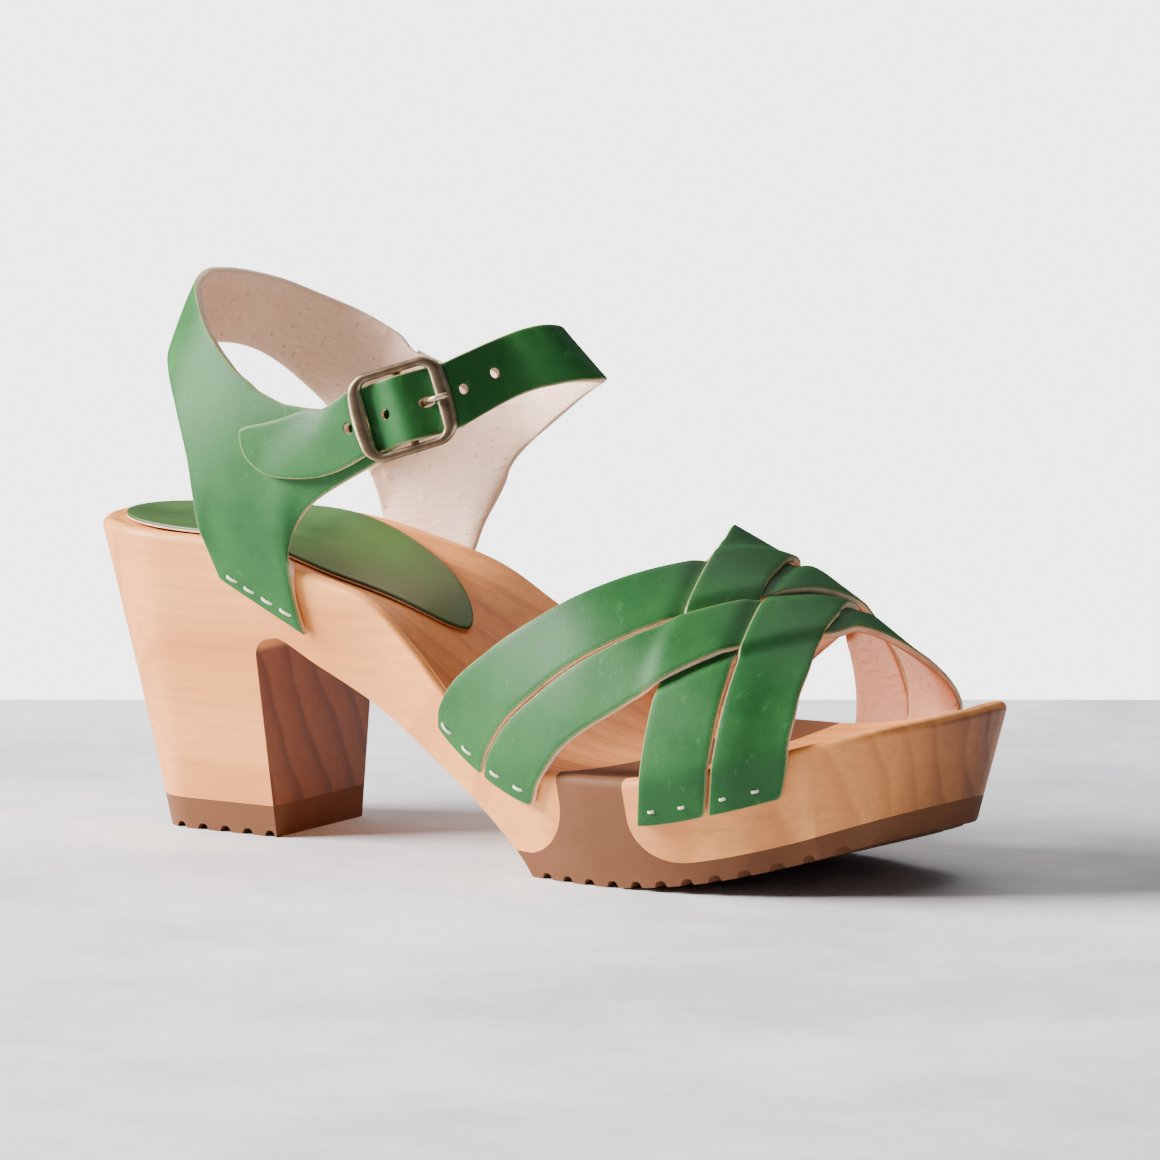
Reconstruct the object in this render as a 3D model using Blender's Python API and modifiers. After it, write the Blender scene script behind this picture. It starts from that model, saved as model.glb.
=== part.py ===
"""A right clog sandal: milled wooden sole with a flexing rubber insert, woven toe straps and an ankle strap.

The shoe is modelled on its own last frame: x runs from the back of the seat to the toe, y to the medial
side and z up from the floor. At the end all pieces hang from one empty, which puts the middle of the
footprint at the origin.
"""
import math
from collections import namedtuple

import bmesh
import bpy
import numpy as np
from mathutils import Vector

# Driving sizes, in metres
LENGTH = 0.243
BALL_WIDTH = 0.0924
SEAT_WIDTH = 0.0624
SEAT_HEIGHT = 0.0769
COLLAR_RISE = 0.062
INSTEP_RISE = 0.0515
RIM_ROUND = 0.0025
FOOTBED_DISH = 0.003
HEEL_DRAFT = 0.26
BREAST_FROM_BACK = 0.0573
BREAST_FILLET = 0.005
INSERT_REAR = 0.1545
INSERT_FRONT = 0.1738
INSERT_CORNER = 0.0150
INSERT_SKEW = 0.085
SKEW_PIVOT = 0.040
LIFT_THICKNESS = 0.008
SOLE_RUBBER = 0.0055
TREAD_PITCH = 0.0067
TREAD_DEPTH = 0.0016
FLAT_FRONT = 0.1580
TOE_SPRING_RADIUS = 0.175
TOE_SPRING_LENGTH = 0.059
STRAP_LEATHER = 0.0021
QUARTER_LEATHER = 0.0020
SOCK_LEATHER = 0.0012
SOCK_INSET = 0.0055
SOCK_LENGTH = 0.1035
SOCK_WIDEST = 0.185
SOCK_POINT = 1.25
CLEARANCE = 0.0003
WEAVE_OVERLAP = 0.0001
STRAP_WIDTH = 0.0164
HOLE_DIAMETER = 0.0026
HOLE_SPACING = 0.0106
BUCKLE_LENGTH = 0.0262
BUCKLE_HEIGHT = 0.0222
BUCKLE_SIDE_BAR = 0.0042
BUCKLE_END_BAR = 0.0024
BUCKLE_THICKNESS = 0.0022
CENTRE_BAR_DIAMETER = 0.0020
BAR_LEVEL = 0.0015
QUARTER_LEVEL = 0.0012
PRONG_DIAMETER = 0.0016

# Rows of the sole from the seat to the toe. Along is a share of LENGTH, the two half widths are shares
# of BALL_WIDTH, the two rims are shares of SEAT_HEIGHT and dish a share of FOOTBED_DISH. The drafts are
# the inward slopes of the two side walls.
Section = namedtuple("Section", "along lateral medial lateral_rim medial_rim dish lateral_draft medial_draft")
SECTIONS = (
    Section(0.000, 0.338, 0.338, 1.000, 1.000, 1.0, 0.19, 0.13),
    Section(0.128, 0.338, 0.338, 0.992, 0.994, 1.1, 0.19, 0.13),
    Section(0.235, 0.336, 0.339, 0.969, 0.976, 1.3, 0.19, 0.13),
    Section(0.305, 0.334, 0.341, 0.904, 0.930, 1.6, 0.19, 0.14),
    Section(0.399, 0.341, 0.346, 0.800, 0.838, 2.0, 0.20, 0.16),
    Section(0.444, 0.352, 0.354, 0.678, 0.752, 2.0, 0.21, 0.18),
    Section(0.490, 0.368, 0.370, 0.538, 0.660, 1.8, 0.22, 0.20),
    Section(0.535, 0.395, 0.408, 0.449, 0.564, 1.5, 0.23, 0.23),
    Section(0.597, 0.433, 0.471, 0.377, 0.450, 1.1, 0.25, 0.27),
    Section(0.675, 0.463, 0.525, 0.360, 0.397, 0.8, 0.27, 0.32),
    Section(0.741, 0.461, 0.539, 0.371, 0.397, 0.7, 0.27, 0.33),
    Section(0.823, 0.417, 0.520, 0.429, 0.429, 0.7, 0.27, 0.32),
    Section(0.893, 0.336, 0.466, 0.494, 0.481, 0.7, 0.27, 0.29),
    Section(0.947, 0.336, 0.466, 0.540, 0.533, 0.7, 0.27, 0.27),
    Section(1.000, 0.336, 0.466, 0.572, 0.572, 0.7, 0.27, 0.27),
)

# The toe's outline past the last straight sections: along is a share of LENGTH and side of BALL_WIDTH.
ToePoint = namedtuple("ToePoint", "along side")
TOE_LATERAL = (
    ToePoint(0.893, -0.336),
    ToePoint(0.925, -0.290),
    ToePoint(0.957, -0.215),
    ToePoint(0.984, -0.070),
    ToePoint(0.998, 0.090),
    ToePoint(1.000, 0.175),
)
TOE_MEDIAL = (
    ToePoint(0.893, 0.466),
    ToePoint(0.930, 0.440),
    ToePoint(0.962, 0.390),
    ToePoint(0.986, 0.310),
    ToePoint(0.997, 0.240),
    ToePoint(1.000, 0.175),
)

# The underside of the arch from the breast to the floor. Along runs from the breast at 0 to the rear of
# the insert at 1, and the height is a share of SEAT_HEIGHT.
ArchPoint = namedtuple("ArchPoint", "along height")
ARCH = (
    ArchPoint(0.0005, 0.668),
    ArchPoint(0.0655, 0.672),
    ArchPoint(0.1855, 0.600),
    ArchPoint(0.3605, 0.489),
    ArchPoint(0.5305, 0.351),
    ArchPoint(0.7205, 0.190),
    ArchPoint(0.8230, 0.076),
    ArchPoint(0.8705, -0.010),
)

# Strips of the toe straps. Around runs across the foot: 0 and 1 are where the strip crosses the two
# rims, and below 0 and above 1 it lies on the wood's sides. Rear and front are shares of LENGTH.
StripRow = namedtuple("StripRow", "around rear front")
LATERAL_REAR_STRIP = (
    StripRow(-0.08, 0.475, 0.534),
    StripRow(0.00, 0.488, 0.553),
    StripRow(0.09, 0.544, 0.617),
    StripRow(0.185, 0.609, 0.687),
    StripRow(0.28, 0.664, 0.740),
    StripRow(0.37, 0.702, 0.773),
    StripRow(0.44, 0.721, 0.789),
    StripRow(0.55, 0.736, 0.803),
    StripRow(0.70, 0.744, 0.813),
    StripRow(0.85, 0.750, 0.819),
    StripRow(1.00, 0.757, 0.824),
    StripRow(1.08, 0.754, 0.824),
)
LATERAL_FRONT_STRIP = (
    StripRow(-0.08, 0.538, 0.602),
    StripRow(0.00, 0.557, 0.626),
    StripRow(0.09, 0.622, 0.708),
    StripRow(0.185, 0.692, 0.769),
    StripRow(0.28, 0.745, 0.811),
    StripRow(0.37, 0.779, 0.837),
    StripRow(0.44, 0.796, 0.850),
    StripRow(0.55, 0.812, 0.863),
    StripRow(0.70, 0.822, 0.882),
    StripRow(0.85, 0.828, 0.892),
    StripRow(1.00, 0.824, 0.894),
    StripRow(1.08, 0.824, 0.891),
)
TOE_REAR_STRIP = (
    StripRow(-0.08, 0.731, 0.802),
    StripRow(0.00, 0.740, 0.811),
    StripRow(0.09, 0.744, 0.813),
    StripRow(0.185, 0.745, 0.811),
    StripRow(0.28, 0.744, 0.803),
    StripRow(0.37, 0.734, 0.793),
    StripRow(0.44, 0.722, 0.781),
    StripRow(0.55, 0.690, 0.754),
    StripRow(0.70, 0.646, 0.722),
    StripRow(0.85, 0.586, 0.658),
    StripRow(1.00, 0.538, 0.592),
    StripRow(1.08, 0.534, 0.588),
)
TOE_FRONT_STRIP = (
    StripRow(-0.08, 0.806, 0.872),
    StripRow(0.00, 0.815, 0.883),
    StripRow(0.09, 0.817, 0.883),
    StripRow(0.185, 0.815, 0.878),
    StripRow(0.28, 0.808, 0.871),
    StripRow(0.37, 0.797, 0.859),
    StripRow(0.44, 0.786, 0.850),
    StripRow(0.55, 0.770, 0.829),
    StripRow(0.70, 0.745, 0.800),
    StripRow(0.85, 0.683, 0.746),
    StripRow(1.00, 0.592, 0.662),
    StripRow(1.08, 0.588, 0.640),
)
# How far the strips reach down the wood's side below the rim, as shares of SEAT_HEIGHT.
LATERAL_REAR_REACH = 0.130
LATERAL_FRONT_REACH = 0.150
MEDIAL_REAR_REACH = 0.110
MEDIAL_FRONT_REACH = 0.145
# The flaps on the wood in the tables' unit of around, and how full the straps' arch is: 2 is an ellipse.
FLAP_SPAN = 0.08
LATERAL_FULLNESS = 2.3
MEDIAL_TOE_FULLNESS = 1.5

# Columns of the heel quarter, from the seam on the medial side round the back to the fold for the
# buckle. Each runs from the lower cut edge to the upper one. x is a share of LENGTH, y of SEAT_WIDTH
# and up a share of COLLAR_RISE above SEAT_HEIGHT; a y of None lies on the wood's side. Belly is the
# outward swell and bend the forward one half way up; sunk is 1 where the leather runs under a lap.
Column = namedtuple("Column", "low_x low_y low_up top_x top_y top_up belly sunk bend")
QUARTER_COLUMNS = (
    Column(0.212, 0.545, 0.200, 0.282, 0.665, 0.595, 0.000, 1.0, 0.0),
    Column(0.191, 0.529, 0.287, 0.255, 0.667, 0.631, 0.000, 1.0, 0.0),
    Column(0.177, 0.506, 0.356, 0.238, 0.652, 0.685, 0.000, 0.3, 0.0),
    Column(0.166, 0.487, 0.419, 0.222, 0.620, 0.732, 0.000, 0.0, 0.0),
    Column(0.144, 0.423, 0.518, 0.195, 0.564, 0.798, 0.005, 0.0, 0.0),
    Column(0.123, 0.357, 0.603, 0.165, 0.446, 0.873, 0.005, 0.0, 0.0),
    Column(0.104, 0.268, 0.661, 0.141, 0.321, 0.937, 0.005, 0.0, 0.0),
    Column(0.087, 0.144, 0.684, 0.119, 0.152, 0.985, 0.005, 0.0, 0.0),
    Column(0.077, 0.000, 0.676, 0.109, 0.000, 1.000, 0.005, 0.0, 0.0),
    Column(0.084, -0.128, 0.684, 0.115, -0.128, 0.969, 0.005, 0.0, 0.0),
    Column(0.101, -0.256, 0.655, 0.128, -0.208, 0.924, 0.005, 0.0, 0.0),
    Column(0.121, -0.361, 0.590, 0.152, -0.312, 0.848, 0.005, 0.0, 0.0),
    Column(0.140, -0.433, 0.502, 0.178, -0.386, 0.769, 0.005, 0.0, 0.0),
    Column(0.156, -0.481, 0.397, 0.200, -0.423, 0.703, 0.010, 0.0, 0.0),
    Column(0.169, -0.513, 0.284, 0.220, -0.449, 0.647, 0.015, 0.0, 0.0),
    Column(0.179, -0.537, 0.160, 0.235, -0.460, 0.615, 0.020, 0.0, 0.0),
    Column(0.189, -0.550, 0.018, 0.247, -0.468, 0.587, 0.030, 0.0, 0.0),
    Column(0.213, None, -0.206, 0.261, -0.474, 0.566, 0.060, 0.0, -0.018),
    Column(0.259, None, -0.285, 0.280, -0.481, 0.542, 0.060, 0.0, -0.0286),
    Column(0.310, None, -0.371, 0.300, -0.481, 0.534, 0.060, 0.0, -0.040),
    Column(0.298, None, -0.260, 0.313, -0.481, 0.531, 0.060, 0.0, -0.022),
    Column(0.289, -0.569, -0.130, 0.326, -0.482, 0.531, 0.045, 0.0, -0.014),
    Column(0.289, -0.577, 0.000, 0.336, -0.486, 0.537, 0.030, 0.0, -0.004),
    Column(0.308, -0.577, 0.115, 0.345, -0.500, 0.552, 0.020, 0.0, 0.0),
    Column(0.332, -0.565, 0.192, 0.3505, -0.506, 0.562, 0.012, 0.0, 0.0),
)

# Columns of the ankle strap's leather: the medial quarter, then the strap round the front fold.
STRAP_COLUMNS = (
    Column(0.191, 0.529, 0.287, 0.255, 0.667, 0.631, 0.000, 0.0, 0.0),
    Column(0.208, 0.553, 0.163, 0.272, 0.673, 0.603, 0.000, 0.0, 0.0),
    Column(0.219, 0.567, 0.063, 0.288, 0.678, 0.582, 0.005, 0.0, 0.0),
    Column(0.228, 0.569, -0.063, 0.302, 0.680, 0.571, 0.012, 0.0, 0.0),
    Column(0.235, None, -0.189, 0.317, 0.681, 0.566, 0.035, 0.0, -0.012),
    Column(0.288, None, -0.263, 0.333, 0.679, 0.568, 0.035, 0.0, -0.018),
    Column(0.343, None, -0.342, 0.350, 0.678, 0.574, 0.035, 0.0, -0.030),
    Column(0.335, None, -0.240, 0.364, 0.673, 0.587, 0.035, 0.0, -0.012),
    Column(0.339, 0.574, -0.135, 0.379, 0.668, 0.603, 0.030, 0.0, -0.006),
    Column(0.348, 0.625, 0.018, 0.393, 0.660, 0.627, 0.020, 0.0, 0.0),
    Column(0.366, 0.660, 0.184, 0.409, 0.641, 0.660, 0.012, 0.0, 0.0),
    Column(0.397, 0.660, 0.310, 0.428, 0.609, 0.692, 0.008, 0.0, 0.0),
    Column(0.434, 0.590, 0.397, 0.449, 0.537, 0.724, 0.004, 0.0, 0.0),
    Column(0.469, 0.494, 0.473, 0.466, 0.449, 0.753, 0.000, 0.0, 0.0),
    Column(0.510, 0.353, 0.550, 0.488, 0.304, 0.790, 0.000, 0.0, 0.0),
    Column(0.545, 0.232, 0.610, 0.508, 0.184, 0.824, 0.000, 0.0, 0.0),
    Column(0.567, 0.145, 0.645, 0.520, 0.096, 0.848, 0.000, 0.0, 0.0),
    Column(0.571, 0.075, 0.655, 0.524, 0.032, 0.862, 0.000, 0.0, 0.0),
    Column(0.562, 0.005, 0.655, 0.520, -0.025, 0.868, 0.000, 0.0, 0.0),
    Column(0.541, -0.075, 0.640, 0.504, -0.090, 0.853, 0.000, 0.0, 0.0),
    Column(0.512, -0.168, 0.598, 0.484, -0.176, 0.813, 0.000, 0.0, 0.0),
)

# The strap's free end lies on the quarter: each row gives x as a share of LENGTH and the heights of its
# two edges as shares of COLLAR_RISE above SEAT_HEIGHT.
FreeEndRow = namedtuple("FreeEndRow", "low_x low_up top_x top_up")
FREE_END = (
    FreeEndRow(0.367, 0.340, 0.352, 0.553),
    FreeEndRow(0.352, 0.303, 0.337, 0.522),
    FreeEndRow(0.331, 0.273, 0.317, 0.518),
    FreeEndRow(0.300, 0.252, 0.291, 0.484),
    FreeEndRow(0.276, 0.260, 0.270, 0.460),
    FreeEndRow(0.259, 0.288, 0.253, 0.442),
    FreeEndRow(0.246, 0.328, 0.243, 0.412),
)

# The quarter's last rows, in the buckle's frame: t along the strap, and its low and top edge across.
FrontRow = namedtuple("FrontRow", "t low top")
QUARTER_FRONT = (
    FrontRow(-0.0120, -0.0106, 0.0082),
    FrontRow(-0.0090, -0.0096, 0.0081),
    FrontRow(-0.0058, -0.0084, 0.0080),
)

# The prong's middle line in the buckle's frame, and its thickness as a share of PRONG_DIAMETER.
ProngPoint = namedtuple("ProngPoint", "t n thick")
PRONG_PATH = (
    ProngPoint(0.0017, 0.00150, 0.9),
    ProngPoint(0.0041, 0.00165, 1.0),
    ProngPoint(0.0054, 0.00260, 1.0),
    ProngPoint(0.0066, 0.00490, 1.0),
    ProngPoint(0.0086, 0.00700, 1.0),
    ProngPoint(0.0108, 0.00725, 1.0),
    ProngPoint(0.0122, 0.00720, 0.9),
    ProngPoint(0.0127, 0.00715, 0.5),
)

# The buckle's centre bar: its place, and the way the strap runs there (turned in by yaw, up by pitch).
BUCKLE_ALONG = 0.4255
BUCKLE_SIDE = -0.443
BUCKLE_UP = 0.548
BUCKLE_YAW = math.radians(19)
BUCKLE_PITCH = math.radians(18)
BUCKLE_LEAN = math.radians(8)

# The strap's holes in steps of HOLE_SPACING from the centre bar; the prong stands in one of them.
HOLE_PLACES = (-1.42, -0.40, 0.60, 1.56, 2.56)
PRONG_HOLE = 2
PRONG_HOLE_LENGTH = 0.0038
PRONG_SLOT = 0.0030
FOLD_WIDTH = 0.016
FOLD_RADIUS = CENTRE_BAR_DIAMETER / 2 + CLEARANCE + QUARTER_LEATHER
ANKLE_ALONG = 0.30
QUARTER_STEPS = 6

# Colours of the plain materials
LEATHER_GREEN = (0.062, 0.235, 0.090, 1)
WOOD_HONEY = (0.72, 0.43, 0.24, 1)
RUBBER_BROWN = (0.25, 0.13, 0.06, 1)
BRASS_ANTIQUE = (0.24, 0.17, 0.09, 1)

SIDE_POINTS_SEAT = 8
SIDE_POINTS_BODY = 26
SIDE_POINTS_TOE = 9
MIRROR = {"lateral": -1, "medial": 1}


def hermite(stops, values, at):
    """Smooth curve through the values at the given stops; each value may be a number or a point."""
    stops = np.asarray(stops, float)
    values = np.asarray(values, float)
    at = min(max(at, stops[0]), stops[-1])
    i = int(min(max(np.searchsorted(stops, at) - 1, 0), len(stops) - 2))
    slopes = (values[1:] - values[:-1]) / (stops[1:] - stops[:-1]).reshape(-1, *[1] * (values.ndim - 1))

    def tangent(k):
        if k == 0:
            return slopes[0]
        if k == len(stops) - 1:
            return slopes[-1]
        before = stops[k] - stops[k - 1]
        after = stops[k + 1] - stops[k]
        between = (slopes[k - 1] * after + slopes[k] * before) / (before + after)
        return np.where(slopes[k - 1] * slopes[k] > 0, between, 0)

    step = stops[i + 1] - stops[i]
    t = (at - stops[i]) / step
    return ((1 + 2 * t) * (1 - t) ** 2 * values[i] + t * (1 - t) ** 2 * step * tangent(i)
            + t * t * (3 - 2 * t) * values[i + 1] + t * t * (t - 1) * step * tangent(i + 1))


def section_value(name, x):
    """A column of SECTIONS at the length x, as a share of the size that it follows."""
    return float(hermite([row.along for row in SECTIONS], [getattr(row, name) for row in SECTIONS], x / LENGTH))


def half_width(side, x):
    return section_value(side, x) * BALL_WIDTH


def rim_height(x, across):
    """Height of the rim's level at x; across runs from -1 on the lateral side to 1 on the medial one."""
    lateral = section_value("lateral_rim", x)
    medial = section_value("medial_rim", x)
    return SEAT_HEIGHT * (lateral + (medial - lateral) * (1 + across) / 2)


def footbed_height(x, across, inward):
    """Height of the dished footbed; inward is 1 at the rim and 0 on the middle line."""
    return rim_height(x, across) - section_value("dish", x) * FOOTBED_DISH * (1 - inward ** 2)


def outline_side(side):
    """Points of the rim's outline on one side, from the back of the seat to the tip of the toe."""
    sign = MIRROR[side]
    seat_radius = half_width(side, 0)
    points = []
    for i in range(SIDE_POINTS_SEAT):
        angle = math.pi / 2 * i / SIDE_POINTS_SEAT
        points.append((seat_radius * (1 - math.cos(angle)), sign * seat_radius * math.sin(angle)))
    toe = TOE_LATERAL if side == "lateral" else TOE_MEDIAL
    toe_start = toe[0].along * LENGTH
    for i in range(SIDE_POINTS_BODY):
        x = seat_radius + (toe_start - seat_radius) * i / SIDE_POINTS_BODY
        points.append((x, sign * half_width(side, x)))
    places = [(p.along * LENGTH, p.side * BALL_WIDTH) for p in toe]
    for i in range(SIDE_POINTS_TOE + 1):
        points.append(tuple(hermite(range(len(places)), places, i * (len(places) - 1) / SIDE_POINTS_TOE)))
    return points


def new_object(name, mesh, collection, material=None):
    thing = bpy.data.objects.new(name, mesh)
    collection.objects.link(thing)
    if material:
        mesh.materials.append(material)
    return thing


def mesh_from(name, vertices, faces):
    mesh = bpy.data.meshes.new(name)
    mesh.from_pydata([tuple(v) for v in vertices], [], faces)
    return mesh


def face_outward(thing):
    work = bmesh.new()
    work.from_mesh(thing.data)
    bmesh.ops.recalc_face_normals(work, faces=work.faces)
    work.to_mesh(thing.data)
    work.free()


def merge_close(thing, distance):
    work = bmesh.new()
    work.from_mesh(thing.data)
    bmesh.ops.remove_doubles(work, verts=work.verts, dist=distance)
    bmesh.ops.recalc_face_normals(work, faces=work.faces)
    work.to_mesh(thing.data)
    work.free()


def boolean(thing, other, operation):
    cut = thing.modifiers.new(operation.lower(), "BOOLEAN")
    cut.operation = operation
    cut.object = other
    cut.solver = "EXACT"


def make_cutter(thing):
    thing.hide_render = True
    thing.display_type = "WIRE"


def settle(thing):
    """Put the evaluated shape in place of the mesh and its modifiers."""
    depsgraph = bpy.context.evaluated_depsgraph_get()
    mesh = bpy.data.meshes.new_from_object(thing.evaluated_get(depsgraph))
    thing.modifiers.clear()
    thing.data = mesh


def shade(thing, degrees=40):
    thing.data.shade_smooth()
    thing.data.set_sharp_from_angle(angle=math.radians(degrees))


def plain_material(name, colour, roughness, metallic=0.0):
    material = bpy.data.materials.new(name)
    material.use_nodes = True
    shader = material.node_tree.nodes["Principled BSDF"]
    shader.inputs["Base Color"].default_value = colour
    shader.inputs["Roughness"].default_value = roughness
    shader.inputs["Metallic"].default_value = metallic
    material.diffuse_color = colour
    return material


def sole_block(collection):
    """The whole last-shaped sole before it is cut: drafted walls, a round rim and a dished footbed."""
    sides = {side: outline_side(side) for side in MIRROR}
    count = len(sides["lateral"])
    middle = [((a[0] + b[0]) / 2, (a[1] + b[1]) / 2) for a, b in zip(sides["lateral"], sides["medial"])]
    last_fan = count - 1 - SIDE_POINTS_TOE
    loop = [(i, "lateral") for i in range(count)] + [(i, "medial") for i in range(count - 2, 0, -1)]
    floor_under = 0.003
    rings = []

    def ring(place):
        row = []
        for i, side in loop:
            px, py = sides[side][i]
            cx, cy = middle[min(max(i, SIDE_POINTS_SEAT), last_fan)]
            row.append(place(i, side, px, py, cx, cy))
        rings.append(row)

    def wall(depth_share, inset, drop):
        def place(i, side, px, py, cx, cy):
            reach = math.hypot(px - cx, py - cy)
            top = rim_height(px, MIRROR[side])
            depth = drop + depth_share * (top + floor_under - drop)
            along = abs(px - cx) / reach
            draft = section_value(side + "_draft", px)
            draft += (HEEL_DRAFT - draft) * along ** 2 if i < SIDE_POINTS_SEAT else 0
            keep = 1 - (inset + draft * depth) / reach
            return (cx + keep * (px - cx), cy + keep * (py - cy), top - depth)
        return place

    def footbed(inward):
        def place(i, side, px, py, cx, cy):
            reach = math.hypot(px - cx, py - cy)
            keep = inward * (1 - RIM_ROUND / reach)
            x = cx + keep * (px - cx)
            y = cy + keep * (py - cy)
            return (x, y, footbed_height(x, MIRROR[side] * keep, inward))
        return place

    for depth_share in (1.0, 0.5):
        ring(wall(depth_share, 0, 0))
    for degrees in (0, 30, 60):
        angle = math.radians(degrees)
        ring(wall(0, RIM_ROUND * (1 - math.cos(angle)), RIM_ROUND * (1 - math.sin(angle))))
    for inward in (1.0, 0.85, 0.6, 0.35, 0.12):
        ring(footbed(inward))

    size = len(loop)
    vertices = [v for row in rings for v in row]
    faces = []
    for r in range(len(rings) - 1):
        for i in range(size):
            j = (i + 1) % size
            faces.append((r * size + i, r * size + j, (r + 1) * size + j, (r + 1) * size + i))
    faces.append(tuple(reversed(range(size))))
    top = (len(rings) - 1) * size
    faces.append((top, top + 1, top + size - 1))
    for i in range(1, count - 2):
        faces.append((top + i, top + i + 1, top + size - i - 1, top + size - i))
    faces.append((top + count - 2, top + count - 1, top + count))
    block = new_object("sole_block", mesh_from("sole_block", vertices, faces), collection)
    face_outward(block)
    return block


def arch_x(along):
    return BREAST_FROM_BACK + along * (INSERT_REAR - BREAST_FROM_BACK)


def skew_at(x):
    """How far a line across the sole runs forward for each unit to the medial side: the ball line is oblique."""
    return float(np.interp(x, (arch_x(ARCH[3].along), INSERT_REAR - INSERT_CORNER), (0, INSERT_SKEW)))


def side_prism(name, outline, collection):
    """A prism across the shoe whose side view is the outline, a list of x and z, skewed with the ball line."""
    half = BALL_WIDTH
    work = bmesh.new()
    near = [work.verts.new((x - half * skew_at(x) + SKEW_PIVOT * skew_at(x), -half, z)) for x, z in outline]
    far = [work.verts.new((x + half * skew_at(x) + SKEW_PIVOT * skew_at(x), half, z)) for x, z in outline]
    work.faces.new(near)
    work.faces.new(far)
    for i, corner in enumerate(near):
        j = (i + 1) % len(near)
        work.faces.new((corner, near[j], far[j], far[i]))
    bmesh.ops.triangulate(work, faces=work.faces)
    bmesh.ops.recalc_face_normals(work, faces=work.faces)
    mesh = bpy.data.meshes.new(name)
    work.to_mesh(mesh)
    work.free()
    prism = new_object(name, mesh, collection)
    make_cutter(prism)
    return prism


def offset_path(points, distance):
    """The open path moved to its left by the distance."""
    points = [np.array(p) for p in points]
    moved = []
    for i, point in enumerate(points):
        before = points[max(i - 1, 0)]
        after = points[min(i + 1, len(points) - 1)]
        way = (after - before) / np.linalg.norm(after - before)
        moved.append(tuple(point + distance * np.array((-way[1], way[0]))))
    return moved


def arch_path():
    """The underside from the fillet at the breast down to the floor."""
    stops = range(len(ARCH))
    places = [(arch_x(p.along), p.height * SEAT_HEIGHT) for p in ARCH]
    path = [tuple(hermite(stops, places, i / 3)) for i in range(3 * (len(ARCH) - 1) + 1)]
    top = places[0][1]
    fillet = []
    for i in range(5):
        angle = math.pi / 2 * i / 4
        fillet.append((BREAST_FROM_BACK + BREAST_FILLET * (1 - math.cos(angle)),
                       top - BREAST_FILLET * (1 - math.sin(angle))))
    return fillet + [p for p in path if p[0] > fillet[-1][0] + 0.001]


def sole_bottom(x):
    """Height of the worn face of the forefoot rubber: flat, an arc, then a straight toe spring."""
    past = x - FLAT_FRONT
    if past <= 0:
        return 0.0
    arc = min(past, TOE_SPRING_LENGTH)
    height = TOE_SPRING_RADIUS - math.sqrt(TOE_SPRING_RADIUS ** 2 - arc ** 2)
    slope = TOE_SPRING_LENGTH / math.sqrt(TOE_SPRING_RADIUS ** 2 - TOE_SPRING_LENGTH ** 2)
    return height + slope * max(past - TOE_SPRING_LENGTH, 0)


def wood_bottom_path():
    """Underside of the toe block from its rear corner to past the toe."""
    corner = INSERT_CORNER
    start = INSERT_FRONT
    path = []
    for i in range(7):
        angle = math.pi / 2 * i / 6
        x = start + corner * (1 - math.cos(angle))
        base = sole_bottom(x) + SOLE_RUBBER
        path.append((x, base + 0.8 * corner * (1 - math.sin(angle))))
    steps = 12
    end = LENGTH + 0.01
    for i in range(1, steps + 1):
        x = start + corner + (end - start - corner) * i / steps
        path.append((x, sole_bottom(x) + SOLE_RUBBER))
    return path


def rear_front_path():
    """Front edge of the rear block, from the rim down round its corner to the arch line."""
    corner = INSERT_CORNER
    foot = SOLE_RUBBER + 0.0005
    path = []
    for i in range(6):
        angle = math.radians(78) * i / 5
        path.append((INSERT_REAR - corner * (1 - math.cos(angle)), foot + corner * (1 - math.sin(angle))))
    path.append((INSERT_REAR - 2 * corner, foot))
    return path


def tread_path(start, end, base):
    """Worn face from start to end with a row of grooves across it."""
    path = [(start, base(start))]
    shares = ((0.50, 0), (0.66, 1), (0.84, 1), (1.0, 0))
    count = int((end - start) / TREAD_PITCH)
    for i in range(count):
        for share, cut in shares:
            x = start + (i + share) * TREAD_PITCH
            path.append((x, base(x) + cut * TREAD_DEPTH))
    path.append((end, base(end)))
    return path


def crossing(path, other):
    """Index of the first point of path past the line of the other path, and the crossing point."""
    for i in range(len(path) - 1):
        for j in range(len(other) - 1):
            p, q = np.array(path[i]), np.array(path[i + 1])
            r, s = np.array(other[j]), np.array(other[j + 1])
            m = np.array(((q - p), (r - s))).T
            if abs(np.linalg.det(m)) < 1e-12:
                continue
            a, b = np.linalg.solve(m, r - p)
            if 0 <= a <= 1 and 0 <= b <= 1:
                return i + 1, j + 1, tuple(p + a * (q - p))
    raise ValueError("the two paths do not meet")


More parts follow.
